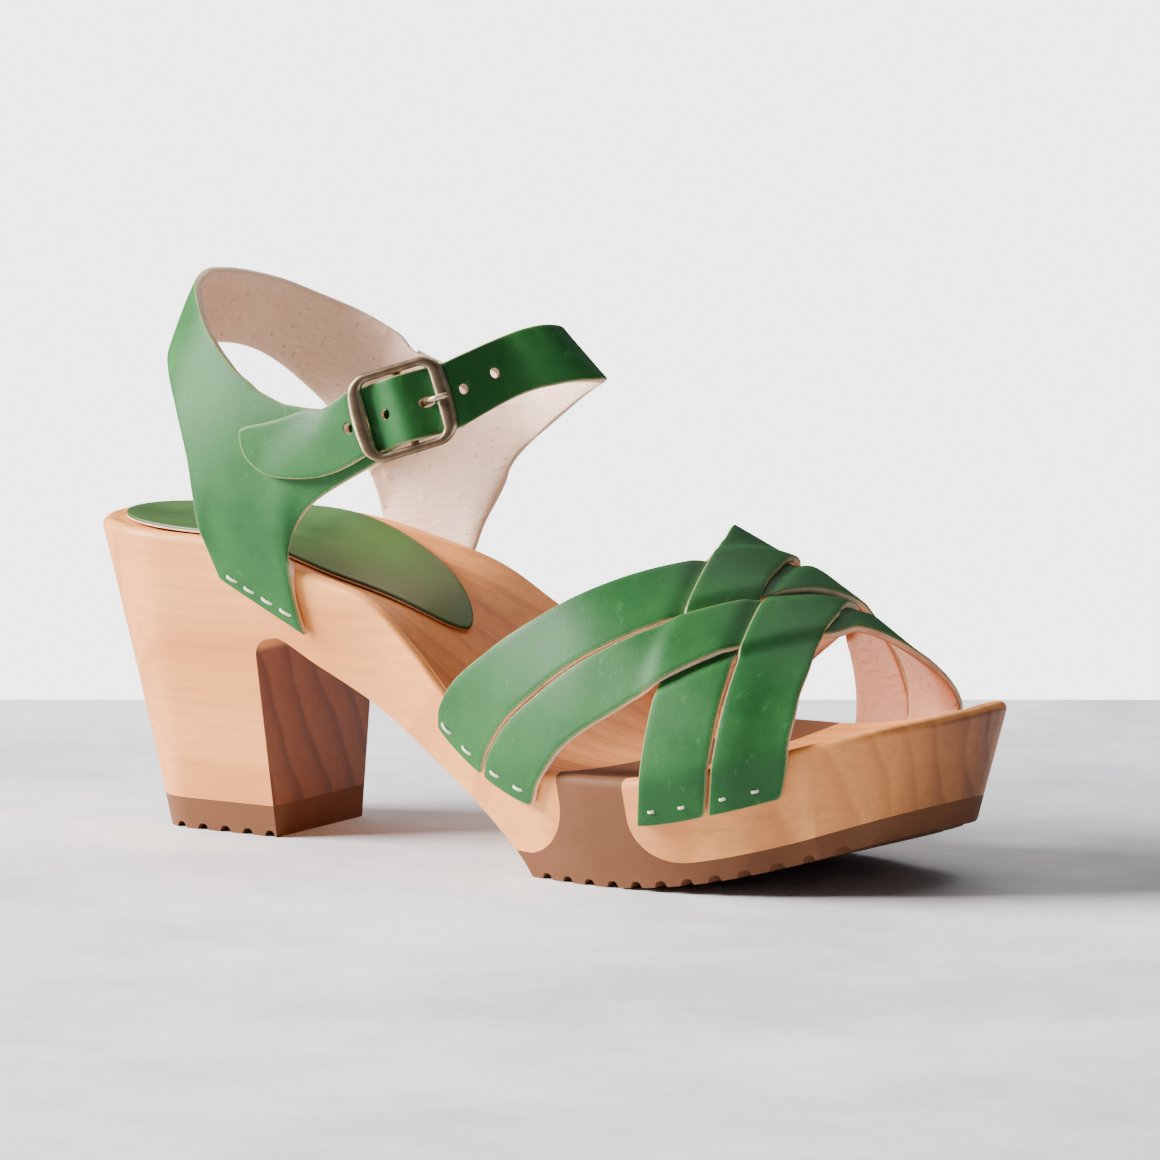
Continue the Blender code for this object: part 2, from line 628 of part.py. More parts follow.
def build_sole(parts, guides, wood, rubber):
    """Rear block, toe block, forefoot rubber and heel lift, each milled from the same block."""
    block = sole_block(guides)
    make_cutter(block)
    high = SEAT_HEIGHT * 1.5
    margin = 0.01
    arch = arch_path()
    front = rear_front_path()
    arch_end, front_end, tip = crossing(arch, front)
    rear_wood = [(-margin, LIFT_THICKNESS + CLEARANCE), (BREAST_FROM_BACK, LIFT_THICKNESS + CLEARANCE)]
    rear_wood += arch[:arch_end] + [tip] + list(reversed(front[:front_end])) + [(front[0][0], high), (-margin, high)]

    under = wood_bottom_path()
    toe_wood = [(under[0][0], high)] + under + [(under[-1][0], high)]

    seat_edge = offset_path(front, CLEARANCE)
    toe_edge = offset_path(under, -CLEARANCE)
    arch_j, seat_j, start = crossing(arch, seat_edge)
    floor_x = BREAST_FROM_BACK
    for p, q in zip(arch, arch[1:]):
        if p[1] > 0 >= q[1]:
            floor_x = p[0] + (q[0] - p[0]) * p[1] / (p[1] - q[1])
    worn = tread_path(floor_x, LENGTH + margin, sole_bottom)
    sole = [start] + [p for p in arch[arch_j:] if p[1] > 0] + worn
    sole += list(reversed(toe_edge)) + [(toe_edge[0][0], high), (seat_edge[0][0], high)] + seat_edge[:seat_j]

    lift = tread_path(-margin, BREAST_FROM_BACK, lambda x: 0.0)
    lift += [(BREAST_FROM_BACK, LIFT_THICKNESS), (-margin, LIFT_THICKNESS)]

    made = {}
    for name, outline, material in (("rear_wood_block", rear_wood, wood), ("toe_wood_block", toe_wood, wood),
                                    ("forefoot_rubber_sole", sole, rubber), ("rubber_heel_lift", lift, rubber)):
        piece = new_object(name, block.data.copy(), parts)
        prism = side_prism(name + "_profile", outline, guides)
        boolean(piece, prism, "INTERSECT")
        settle(piece)
        piece.data.materials.clear()
        piece.data.materials.append(material)
        merge_close(piece, 1e-6)
        shade(piece, 35)
        made[name] = piece
    return made


def solid_sheet(name, rows, thickness, parts, material, inward=True):
    """A closed sheet of leather from a grid of points on its outer face."""
    across = len(rows[0])
    vertices = [p for row in rows for p in row]
    faces = []
    for r in range(len(rows) - 1):
        for c in range(across - 1):
            a = r * across + c
            faces.append((a, a + 1, a + across + 1, a + across))
    piece = new_object(name, mesh_from(name, vertices, faces), parts, material)
    shell = piece.modifiers.new("leather", "SOLIDIFY")
    shell.thickness = thickness
    shell.offset = -1 if inward else 1
    shell.use_even_offset = True
    return piece


def build_sock(parts, material):
    """The heel sock: a thin pointed oval that follows the footbed's dish."""
    radius = half_width("lateral", 0)
    steps = 40
    rings = (1.0, 0.87, 0.74, 0.61, 0.48, 0.35, 0.22, 0.1)
    middle_x = SOCK_WIDEST * LENGTH

    def edge(angle):
        back = math.cos(angle) > 0
        x = middle_x - (middle_x - SOCK_INSET if back else SOCK_LENGTH - middle_x) * math.cos(angle)
        side = "lateral" if math.sin(angle) < 0 else "medial"
        widest = half_width(side, middle_x) - SOCK_INSET
        fullness = abs(math.sin(angle)) ** (0.92 if back else SOCK_POINT)
        return x, math.copysign(widest * fullness, math.sin(angle))

    def height(x, y):
        side = "lateral" if y < 0 else "medial"
        reach = half_width(side, max(x, radius))
        share = math.hypot(min(x - radius, 0), y) / reach
        inward = share / (1 - RIM_ROUND / reach)
        return footbed_height(x, y / reach, inward) + 2 * CLEARANCE

    vertices = []
    for ring in rings:
        for i in range(steps):
            x, y = edge(2 * math.pi * i / steps)
            x = middle_x + (x - middle_x) * ring
            y *= ring
            vertices.append((x, y, height(x, y)))
    vertices.append((middle_x, 0, height(middle_x, 0)))
    faces = []
    for r in range(len(rings) - 1):
        for i in range(steps):
            j = (i + 1) % steps
            faces.append((r * steps + i, r * steps + j, (r + 1) * steps + j, (r + 1) * steps + i))
    last = (len(rings) - 1) * steps
    for i in range(steps):
        faces.append((last + i, last + (i + 1) % steps, last + steps))
    sock = new_object("heel_sock", mesh_from("heel_sock", vertices, faces), parts, material)
    face_outward(sock)
    if sock.data.polygons[0].normal.z < 0:
        sock.data.flip_normals()
    shell = sock.modifiers.new("leather", "SOLIDIFY")
    shell.thickness = SOCK_LEATHER
    shell.offset = 1
    shell.use_even_offset = True
    settle(sock)
    shade(sock)
    return sock


def side_stretch(side, x):
    """How much longer a step across the foot is than the same step square to the wood's side."""
    step = 0.007
    slope = max(abs(half_width(side, x + k * step) - half_width(side, x)) / step for k in (-1, 1))
    return math.sqrt(1 + slope ** 2 + section_value(side + "_draft", x) ** 2)


def wood_side(side, x, depth, outward):
    """A point the depth below the rim and the distance outward, square to the wood's side wall."""
    sign = MIRROR[side]
    y = half_width(side, x) - section_value(side + "_draft", x) * depth + outward * side_stretch(side, x)
    return np.array((x, sign * y, rim_height(x, sign) - depth))


def vamp_point(x, around, reach, lift):
    """A point of the toe straps' outer face; around is as in the strip tables, lift raises it."""
    out = CLEARANCE + STRAP_LEATHER + lift
    if around < 0:
        return wood_side("lateral", x, -around / FLAP_SPAN * reach[0], out)
    if around > 1:
        return wood_side("medial", x, (around - 1) / FLAP_SPAN * reach[1], out)
    lateral = half_width("lateral", x) + out * side_stretch("lateral", x)
    medial = half_width("medial", x) + out * side_stretch("medial", x)
    power = 2 / LATERAL_FULLNESS
    if around > 0.5:
        power = 2 / float(np.interp(x / LENGTH, (0.76, 0.88), (LATERAL_FULLNESS, MEDIAL_TOE_FULLNESS)))
    angle = math.pi * (1 - around)
    side_share = math.copysign(abs(math.cos(angle)) ** power, math.cos(angle))
    up_share = abs(math.sin(angle)) ** power
    skew = 0.05 * BALL_WIDTH
    crest = 0.365 * SEAT_HEIGHT + INSTEP_RISE - 0.5 * (x - 0.709 * LENGTH) + lift
    rim = rim_height(x, side_share)
    y = (medial - lateral) / 2 + (lateral + medial) / 2 * side_share + skew * up_share
    return np.array((x, y, rim + (crest - rim) * up_share))


def strip_edges(table, around):
    stops = [row.around for row in table]
    rear = float(hermite(stops, [row.rear for row in table], around)) * LENGTH
    front = float(hermite(stops, [row.front for row in table], around)) * LENGTH
    return rear, front


def strip_lift(name, around):
    """Raise or sink a strip where it crosses another: half a leather up when over, down when under."""
    half = STRAP_LEATHER / 2 - WEAVE_OVERLAP / 2
    crossings = {
        "lateral_rear": ((0.46, -1), (0.70, 1)),
        "lateral_front": ((0.27, 1), (0.47, -1)),
        "toe_rear": ((0.27, -1), (0.50, 1)),
        "toe_front": ((0.44, 1), (0.70, -1)),
    }[name]
    stops = [-FLAP_SPAN, 0.06] + [place for place, _ in crossings] + [0.93, 1 + FLAP_SPAN]
    lifts = [0.0, 0.0] + [sign * half for _, sign in crossings] + [0.0, 0.0]
    return float(np.interp(around, stops, lifts))


def build_toe_straps(parts, guides, material):
    """Four strips in a plain weave, in two pairs that are each cut from one piece of leather."""
    arounds = [-FLAP_SPAN, -FLAP_SPAN / 2] + [i / 26 for i in range(27)] + [1 + FLAP_SPAN / 2, 1 + FLAP_SPAN]
    slit_end = 0.93
    pairs = (
        ("toe_straps", ("lateral_rear", LATERAL_REAR_STRIP), ("lateral_front", LATERAL_FRONT_STRIP),
         (LATERAL_REAR_REACH, MEDIAL_FRONT_REACH)),
        ("toe_pair", ("toe_rear", TOE_REAR_STRIP), ("toe_front", TOE_FRONT_STRIP),
         (LATERAL_FRONT_REACH, MEDIAL_REAR_REACH)),
    )
    across = 4
    made = []
    for name, rear_strip, front_strip, reach in pairs:
        reach = tuple(share * SEAT_HEIGHT for share in reach)
        vertices = []
        faces = []
        joints = []
        for around in arounds:
            edges = [strip_edges(table, around) for _, table in (rear_strip, front_strip)]
            if around > slit_end:
                meeting = (edges[0][1] + edges[1][0]) / 2
                edges = [(edges[0][0], meeting), (meeting, edges[1][1])]
            joints.append(around > slit_end)
            for (strip, _), (rear, front) in zip((rear_strip, front_strip), edges):
                lift = strip_lift(strip, around)
                for c in range(across):
                    x = rear + (front - rear) * c / (across - 1)
                    vertices.append(vamp_point(x, around, reach, lift))
        width = 2 * across
        for r in range(len(arounds) - 1):
            for strip in range(2):
                for c in range(across - 1):
                    a = r * width + strip * across + c
                    faces.append((a, a + 1, a + width + 1, a + width))
        piece = new_object(name, mesh_from(name, vertices, faces), parts, material)
        merge_close(piece, 1e-5)
        if piece.data.polygons[0].normal.y > 0:
            piece.data.flip_normals()
        shell = piece.modifiers.new("leather", "SOLIDIFY")
        shell.thickness = STRAP_LEATHER
        shell.offset = -1
        shell.use_even_offset = True
        settle(piece)
        made.append(piece)
    straps, other = made
    boolean(straps, other, "UNION")
    settle(straps)
    merge_close(straps, 1e-6)
    bpy.data.objects.remove(other)
    shade(straps)
    return straps


def quarter_point(share_x, share_y, share_up):
    return np.array((share_x * LENGTH, share_y * SEAT_WIDTH, SEAT_HEIGHT + share_up * COLLAR_RISE))


def column_ends(column, side):
    """Lower and upper point of a column's outer face."""
    top = quarter_point(column.top_x, column.top_y, column.top_up)
    if column.low_y is None:
        x = column.low_x * LENGTH
        depth = rim_height(x, MIRROR[side]) - SEAT_HEIGHT - column.low_up * COLLAR_RISE
        return wood_side(side, x, depth, CLEARANCE + QUARTER_LEATHER), top
    return quarter_point(column.low_x, column.low_y, column.low_up), top


def leather_rows(columns, side, turn):
    """Points of the outer face, one row for each column, from the lower edge to the upper one.

    Turn is 1 where the columns run from the medial side round the back, and -1 where they run round the
    front; it makes the leather belly and sink along the way out of the shoe.
    """
    ends = [column_ends(column, side) for column in columns]
    rows = []
    for k, (column, (low, top)) in enumerate(zip(columns, ends)):
        along = ends[min(k + 1, len(ends) - 1)][1] - ends[max(k - 1, 0)][1]
        outward = turn * np.cross(along, (0, 0, 1))
        outward /= np.linalg.norm(outward)
        sink = column.sunk * (QUARTER_LEATHER + CLEARANCE)
        row = []
        for i in range(QUARTER_STEPS):
            t = i / (QUARTER_STEPS - 1)
            swell = 4 * t * (1 - t)
            point = low + t * (top - low) + (swell * column.belly * SEAT_WIDTH - sink) * outward
            point[0] += swell * column.bend * LENGTH
            row.append(point)
        rows.append(row)
    return rows


def smooth_rows(rows, parts_between):
    """More columns between the given ones, on smooth curves through them, all kept clear of the wood."""
    stops = list(range(len(rows)))
    places = [[tuple(p) for p in row] for row in rows]
    out = []
    for i in range((len(rows) - 1) * parts_between + 1):
        out.append([clear_of_wood(p) for p in hermite(stops, places, i / parts_between)])
    return out


def clear_of_wood(point):
    """Move a point of an outer face out until the leather behind it clears the wood's side and rim."""
    x, y, z = point
    side = "lateral" if y < 0 else "medial"
    depth = rim_height(x, MIRROR[side]) - z
    if depth < -RIM_ROUND:
        return np.array(point)
    wall = wood_side(side, x, max(depth, 0), CLEARANCE + QUARTER_LEATHER)
    return np.array((x, math.copysign(max(abs(y), abs(wall[1])), y), z))


def buckle_frame():
    """Origin on the centre bar's line and the three ways: along the strap, outward and across it."""
    along = Vector((math.cos(BUCKLE_PITCH) * math.cos(BUCKLE_YAW), math.cos(BUCKLE_PITCH) * math.sin(BUCKLE_YAW),
                    math.sin(BUCKLE_PITCH)))
    flat = Vector((math.sin(BUCKLE_YAW), -math.cos(BUCKLE_YAW), 0))
    across = flat.cross(along)
    outward = (flat * math.cos(BUCKLE_LEAN) + across * math.sin(BUCKLE_LEAN)).normalized()
    across = outward.cross(along)
    origin = quarter_point(BUCKLE_ALONG, BUCKLE_SIDE, BUCKLE_UP)
    return np.array(origin), np.array(along), np.array(outward), np.array(across)


def at_buckle(t, n, b):
    origin, along, outward, across = buckle_frame()
    return origin + t * along + n * outward + b * across


def local_row(t, level, low, top):
    """A row of an outer face in the buckle's frame, from its low edge to its top one."""
    return [at_buckle(t, level, low + (top - low) * i / (QUARTER_STEPS - 1)) for i in range(QUARTER_STEPS)]


def strap_level(t):
    """Height of the strap's outer face above the quarter's plane, at t along it from the centre bar."""
    flat = QUARTER_LEVEL + CLEARANCE + QUARTER_LEATHER
    bulge = BAR_LEVEL + FOLD_RADIUS + CLEARANCE + QUARTER_LEATHER
    reach = BUCKLE_LENGTH / 2 - BUCKLE_SIDE_BAR - CLEARANCE
    if abs(t) >= reach:
        return flat
    return flat + (bulge - flat) * (0.5 + 0.5 * math.cos(math.pi * t / reach))


def grid_sheet(name, rows, parts, material):
    """Leather from rows of points on its outer face, thickened towards the foot."""
    grid = np.array([[tuple(p) for p in row] for row in rows])
    normals = np.cross(np.gradient(grid, axis=0), np.gradient(grid, axis=1))
    normals /= np.linalg.norm(normals, axis=2, keepdims=True)
    middle = (len(rows) // 2, QUARTER_STEPS // 2)
    away = grid[middle] - np.array((ANKLE_ALONG * LENGTH, 0, grid[middle][2]))
    if np.dot(normals[middle], away) < 0:
        normals = -normals
    count, width = grid.shape[:2]
    outer = grid.reshape(-1, 3)
    inner = (grid - QUARTER_LEATHER * normals).reshape(-1, 3)
    size = count * width
    faces = []
    for r in range(count - 1):
        for c in range(width - 1):
            a = r * width + c
            faces.append((a, a + 1, a + width + 1, a + width))
            faces.append((size + a, size + a + width, size + a + width + 1, size + a + 1))
    rim = [(0, c) for c in range(width)] + [(r, width - 1) for r in range(1, count)]
    rim += [(count - 1, c) for c in range(width - 2, -1, -1)] + [(r, 0) for r in range(count - 2, 0, -1)]
    rim = [r * width + c for r, c in rim]
    for k, a in enumerate(rim):
        b = rim[(k + 1) % len(rim)]
        faces.append((a, size + a, size + b, b))
    piece = new_object(name, mesh_from(name, np.concatenate((outer, inner)), faces), parts, material)
    face_outward(piece)
    return piece


def local_box(name, low, high, guides):
    """A box in the buckle's frame between two corners, each given as t, n and b."""
    corners = [(t, n, b) for t in (low[0], high[0]) for n in (low[1], high[1]) for b in (low[2], high[2])]
    faces = [(0, 1, 3, 2), (4, 6, 7, 5), (0, 4, 5, 1), (2, 3, 7, 6), (0, 2, 6, 4), (1, 5, 7, 3)]
    box = new_object(name, mesh_from(name, [at_buckle(*c) for c in corners], faces), guides)
    face_outward(box)
    make_cutter(box)
    return box


def build_heel_quarter(parts, guides, material):
    rows = leather_rows(QUARTER_COLUMNS, "lateral", 1)
    for row in QUARTER_FRONT:
        rows.append(local_row(row.t, QUARTER_LEVEL, row.low, row.top))
    rows = smooth_rows(rows, 2)
    for degrees in range(150, -120, -30):
        angle = math.radians(degrees)
        rows.append(local_row(FOLD_RADIUS * math.cos(angle), BAR_LEVEL + FOLD_RADIUS * math.sin(angle),
                              -FOLD_WIDTH / 2, FOLD_WIDTH / 2))
    quarter = grid_sheet("heel_quarter", rows, parts, material)
    slot = local_box("prong_slot", (-0.0029, -0.004, -PRONG_SLOT / 2), (0.005, 0.008, PRONG_SLOT / 2), guides)
    boolean(quarter, slot, "DIFFERENCE")
    settle(quarter)
    merge_close(quarter, 1e-6)
    shade(quarter)
    return quarter


def hole_cutter(name, centre, normal, along, length, guides):
    """An oblong punch along the leather's normal; length is its size along the strap."""
    normal = normal / np.linalg.norm(normal)
    along = along - np.dot(along, normal) * normal
    along /= np.linalg.norm(along)
    across = np.cross(normal, along)
    turns = 12
    vertices = []
    for level in (-0.004, 0.003):
        for i in range(turns):
            angle = 2 * math.pi * i / turns
            vertices.append(centre + level * normal + length / 2 * math.cos(angle) * along
                            + HOLE_DIAMETER / 2 * math.sin(angle) * across)
    faces = [(i, (i + 1) % turns, turns + (i + 1) % turns, turns + i) for i in range(turns)]
    faces += [tuple(range(turns)), tuple(range(turns, 2 * turns))]
    punch = new_object(name, mesh_from(name, vertices, faces), guides)
    face_outward(punch)
    make_cutter(punch)
    return punch


def build_ankle_strap(parts, guides, quarter, material):
    """The medial quarter and the long strap: round the front, under the buckle and back along the quarter."""
    table_rows = leather_rows(STRAP_COLUMNS, "medial", -1)
    half = STRAP_WIDTH / 2
    approach = BUCKLE_LENGTH / 2
    rows = smooth_rows(table_rows + [local_row(approach, strap_level(approach), -half, half)], 2)
    joint = len(rows) - 1
    for i in range(1, 13):
        t = approach - 2 * approach * i / 12
        rows.append(local_row(t, strap_level(t), -half, half))
    leaving = len(rows) - 1
    for end_row in FREE_END:
        row = []
        for i in range(QUARTER_STEPS):
            share = i / (QUARTER_STEPS - 1)
            x = (end_row.low_x + (end_row.top_x - end_row.low_x) * share) * LENGTH
            z = SEAT_HEIGHT + (end_row.low_up + (end_row.top_up - end_row.low_up) * share) * COLLAR_RISE
            hit, place, normal, _ = quarter.ray_cast((x, -BALL_WIDTH, z), (0, 1, 0))
            row.append(np.array(place + normal * (QUARTER_LEATHER + 3.5 * CLEARANCE)))
        rows.append(row)
    strap = grid_sheet("ankle_strap", rows, parts, material)

    outward = buckle_frame()[2]
    along = buckle_frame()[1]
    middle = QUARTER_STEPS // 2
    for k, share in enumerate(HOLE_PLACES):
        t = share * HOLE_SPACING
        length = PRONG_HOLE_LENGTH if k == PRONG_HOLE else HOLE_DIAMETER
        if abs(t) <= approach:
            punch = hole_cutter("hole_%d" % k, at_buckle(t, strap_level(t), 0), outward, along, length, guides)
        else:
            left = abs(t) - approach
            r, step = (joint, -1) if t > 0 else (leaving, 1)
            centres = [(row[middle] + row[QUARTER_STEPS - 1 - middle]) / 2 for row in rows]
            while np.linalg.norm(centres[r + step] - centres[r]) < left:
                left -= np.linalg.norm(centres[r + step] - centres[r])
                r += step
            way = centres[r + step] - centres[r]
            centre = centres[r] + way * left / np.linalg.norm(way)
            normal = np.cross(rows[r][-1] - rows[r][0], way)
            if np.dot(normal, centre - np.array((ANKLE_ALONG * LENGTH, 0, centre[2]))) < 0:
                normal = -normal
            punch = hole_cutter("hole_%d" % k, centre, normal, way, length, guides)
        boolean(strap, punch, "DIFFERENCE")
        settle(strap)
    merge_close(strap, 1e-6)
    shade(strap)
    return strap


def rounded_outline(half_t, half_b, radius, steps=5):
    """A rectangle with round corners as points of t and b."""
    points = []
    for k, (sign_t, sign_b) in enumerate(((1, 1), (-1, 1), (-1, -1), (1, -1))):
        for i in range(steps):
            angle = math.pi / 2 * (k + i / (steps - 1))
            points.append((sign_t * (half_t - radius) + radius * math.cos(angle),
                           sign_b * (half_b - radius) + radius * math.sin(angle)))
    return points


def build_buckle(parts, guides, material):
    """A rectangular frame with flat side bars and a low centre bar on two lugs."""
    under = QUARTER_LEVEL + 2 * CLEARANCE + QUARTER_LEATHER
    top = under + BUCKLE_THICKNESS
    soft = 0.0005
    outer = rounded_outline(BUCKLE_LENGTH / 2, BUCKLE_HEIGHT / 2, 0.0042)
    window_t = BUCKLE_LENGTH / 2 - BUCKLE_SIDE_BAR
    window_b = BUCKLE_HEIGHT / 2 - BUCKLE_END_BAR
    inner = rounded_outline(window_t, window_b, 0.0012)
    outer_soft = rounded_outline(BUCKLE_LENGTH / 2 - soft, BUCKLE_HEIGHT / 2 - soft, 0.0042 - soft)
    inner_soft = rounded_outline(window_t + soft, window_b + soft, 0.0012 + soft)
    rings = ((outer, under + soft), (outer, top - soft), (outer_soft, top), (inner_soft, top),
             (inner, top - soft), (inner, under + soft), (inner_soft, under), (outer_soft, under))
    size = len(outer)
    vertices = [at_buckle(t, n, b) for outline, n in rings for t, b in outline]
    faces = []
    for k in range(len(rings)):
        m = (k + 1) % len(rings)
        for i in range(size):
            j = (i + 1) % size
            faces.append((k * size + i, k * size + j, m * size + j, m * size + i))
    buckle = new_object("buckle", mesh_from("buckle", vertices, faces), parts, material)
    face_outward(buckle)

    radius = CENTRE_BAR_DIAMETER / 2
    lug_inner = window_b + 0.0001
    lug_outer = BUCKLE_HEIGHT / 2 - 0.0004
    bar_vertices = []
    turns = 12
    for b in (-lug_inner - 0.0006, lug_inner + 0.0006):
        for i in range(turns):
            angle = 2 * math.pi * i / turns
            bar_vertices.append(at_buckle(radius * math.cos(angle), BAR_LEVEL + radius * math.sin(angle), b))
    bar_faces = [(i, (i + 1) % turns, turns + (i + 1) % turns, turns + i) for i in range(turns)]
    bar_faces += [tuple(range(turns)), tuple(range(turns, 2 * turns))]
    bar = new_object("centre_bar", mesh_from("centre_bar", bar_vertices, bar_faces), guides)
    face_outward(bar)
    make_cutter(bar)
    added = [bar]
    for sign in MIRROR.values():
        ends = sorted((sign * lug_inner, sign * lug_outer))
        added.append(local_box("lug", (-0.0013, BAR_LEVEL - radius - 0.0001, ends[0]),
                               (0.0013, under + soft, ends[1]), guides))
    for other in added:
        boolean(buckle, other, "UNION")
        settle(buckle)
        bpy.data.objects.remove(other)
    merge_close(buckle, 1e-6)
    shade(buckle, 30)
    return buckle


def build_prong(parts, guides, material):
    """The prong: a wire from its ring on the centre bar up through the strap onto the front side bar."""
    radius = PRONG_DIAMETER / 2
    turns = 8
    path = [np.array((row.t, row.n)) for row in PRONG_PATH]
    vertices = []
    for k, (point, row) in enumerate(zip(path, PRONG_PATH)):
        way = path[min(k + 1, len(path) - 1)] - path[max(k - 1, 0)]
        way /= np.linalg.norm(way)
        for i in range(turns):
            angle = 2 * math.pi * i / turns
            r = radius * row.thick
            t, n = point + r * math.sin(angle) * np.array((-way[1], way[0]))
            vertices.append(at_buckle(t, n, r * math.cos(angle)))
    faces = []
    for k in range(len(path) - 1):
        for i in range(turns):
            j = (i + 1) % turns
            faces.append((k * turns + i, k * turns + j, (k + 1) * turns + j, (k + 1) * turns + i))
    faces.append(tuple(range(turns)))
    faces.append(tuple(range((len(path) - 1) * turns, len(path) * turns)))
    prong = new_object("buckle_prong", mesh_from("buckle_prong", vertices, faces), parts, material)
    face_outward(prong)

    inner = CENTRE_BAR_DIAMETER / 2 + CLEARANCE
    outer = inner + 0.0011
    ring_vertices = []
    ring_turns = 16
    for i in range(ring_turns):
        angle = 2 * math.pi * i / ring_turns
        for r, b in ((inner, -radius), (outer, -radius), (outer, radius), (inner, radius)):
            ring_vertices.append(at_buckle(r * math.cos(angle), BAR_LEVEL + r * math.sin(angle), b))
    ring_faces = []
    for i in range(ring_turns):
        j = (i + 1) % ring_turns
        for k in range(4):
            m = (k + 1) % 4
            ring_faces.append((4 * i + k, 4 * i + m, 4 * j + m, 4 * j + k))
    ring = new_object("prong_ring", mesh_from("prong_ring", ring_vertices, ring_faces), guides)
    face_outward(ring)
    boolean(prong, ring, "UNION")
    settle(prong)
    bpy.data.objects.remove(ring)
    merge_close(prong, 1e-6)
    shade(prong, 50)
    return prong


def hang_from_empty(parts):
    """Put the middle of the footprint at the origin by hanging every piece from one empty."""
    corners = np.array([tuple(v.co) for piece in parts.objects for v in piece.data.vertices])
    low, high = corners.min(axis=0), corners.max(axis=0)
    centre = bpy.data.objects.new("footprint_centre", None)
    centre.location = (-(low[0] + high[0]) / 2, -(low[1] + high[1]) / 2, -low[2])
    for piece in list(parts.objects):
        piece.parent = centre
    parts.objects.link(centre)


def main():
    for thing in list(bpy.data.objects):
        bpy.data.objects.remove(thing)
    parts = bpy.data.collections.new("clog_sandal")
    guides = bpy.data.collections.new("guides")
    for collection in (parts, guides):
        bpy.context.scene.collection.children.link(collection)
    leather = plain_material("green_leather", LEATHER_GREEN, 0.45)
    wood = plain_material("honey_wood", WOOD_HONEY, 0.5)
    rubber = plain_material("brown_rubber", RUBBER_BROWN, 0.7)
    brass = plain_material("antique_brass", BRASS_ANTIQUE, 0.35, 1.0)
    build_sole(parts, guides, wood, rubber)
    build_sock(parts, leather)
    build_toe_straps(parts, guides, leather)
    quarter = build_heel_quarter(parts, guides, leather)
    build_ankle_strap(parts, guides, quarter, leather)
    build_buckle(parts, guides, brass)
    build_prong(parts, guides, brass)
    hang_from_empty(parts)


main()
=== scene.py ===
# %% [markdown]
# # A right clog sandal
# Two blocks of pale wood are joined by one rubber sole that also fills the gap between them, so the shoe
# bends at the ball. Green leather strips are woven over the toes, and a long strap with a brass buckle
# holds the ankle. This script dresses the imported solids: it loads them, sets the camera and the light,
# builds the finishes as node groups, and then makes each piece again with finer curves and its detail.

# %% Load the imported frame
import math
from itertools import product

import bmesh
import bpy
import numpy as np
from mathutils import Matrix, Vector
from mathutils.bvhtree import BVHTree
from mathutils.kdtree import KDTree


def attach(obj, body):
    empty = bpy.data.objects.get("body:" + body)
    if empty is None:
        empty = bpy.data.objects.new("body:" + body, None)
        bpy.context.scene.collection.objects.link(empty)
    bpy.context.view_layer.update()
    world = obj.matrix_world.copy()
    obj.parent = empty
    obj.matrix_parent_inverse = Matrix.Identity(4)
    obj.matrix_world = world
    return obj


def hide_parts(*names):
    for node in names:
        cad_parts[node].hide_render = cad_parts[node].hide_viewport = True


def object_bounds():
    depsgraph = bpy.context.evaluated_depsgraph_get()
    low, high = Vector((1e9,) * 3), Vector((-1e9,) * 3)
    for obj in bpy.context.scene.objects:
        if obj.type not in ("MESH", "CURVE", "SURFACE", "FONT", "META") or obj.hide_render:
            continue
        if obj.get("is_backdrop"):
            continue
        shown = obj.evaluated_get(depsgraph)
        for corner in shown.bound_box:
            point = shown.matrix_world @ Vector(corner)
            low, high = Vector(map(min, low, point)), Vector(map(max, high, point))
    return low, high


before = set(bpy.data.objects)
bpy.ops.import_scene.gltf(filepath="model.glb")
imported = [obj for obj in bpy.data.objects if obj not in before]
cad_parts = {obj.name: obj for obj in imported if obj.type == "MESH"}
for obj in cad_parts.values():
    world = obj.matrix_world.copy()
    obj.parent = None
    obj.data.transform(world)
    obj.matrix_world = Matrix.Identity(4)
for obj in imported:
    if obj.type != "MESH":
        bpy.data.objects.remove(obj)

cad_box = [list(corner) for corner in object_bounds()]
print("packed nodes:", sorted(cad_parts))

# %% [markdown]
# ## Camera, floor and light
# The photograph was taken from far away with a long lens, low and in front of the shoe's outer side. The
# camera stands at that distance and turns to the one shoe. A big soft panel on the left does most of the
# lighting, as in the photograph, and a pale world fills the shadows. A sky picture could light it too, but
# a panel's place, size and colour can each be set, and its soft shadow falls as in the photograph.

# %% Camera
CAMERA_PLACE = Vector((1.2588, -1.9898, 0.3965))
CAMERA_TARGET = Vector((0.0115, 0.0000, 0.0676))
LENS = 301

camera_data = bpy.data.cameras.new("camera")
camera_data.lens = LENS
camera_data.sensor_width = 36
camera_data.clip_start = 0.05
camera_data.clip_end = 20
camera = bpy.data.objects.new("camera", camera_data)
camera.location = CAMERA_PLACE
camera.rotation_euler = (CAMERA_TARGET - CAMERA_PLACE).to_track_quat("-Z", "Y").to_euler()
bpy.context.scene.collection.objects.link(camera)
bpy.context.scene.camera = camera
print("camera distance:", round((CAMERA_TARGET - CAMERA_PLACE).length, 3), "m")


# %% Floor, and a helper that starts every finish
FLOOR_BEHIND = 0.243
FLOOR_SIZE = 3.0
FLOOR_STEPS = 24


def new_material(name, **values):
    """A Principled material; the values are set on the shader's own sockets."""
    material = bpy.data.materials.new(name)
    material.use_nodes = True
    shader = material.node_tree.nodes["Principled BSDF"]
    for socket, value in values.items():
        shader.inputs[socket.replace("_", " ")].default_value = value
    return material, material.node_tree, material.node_tree.links, shader


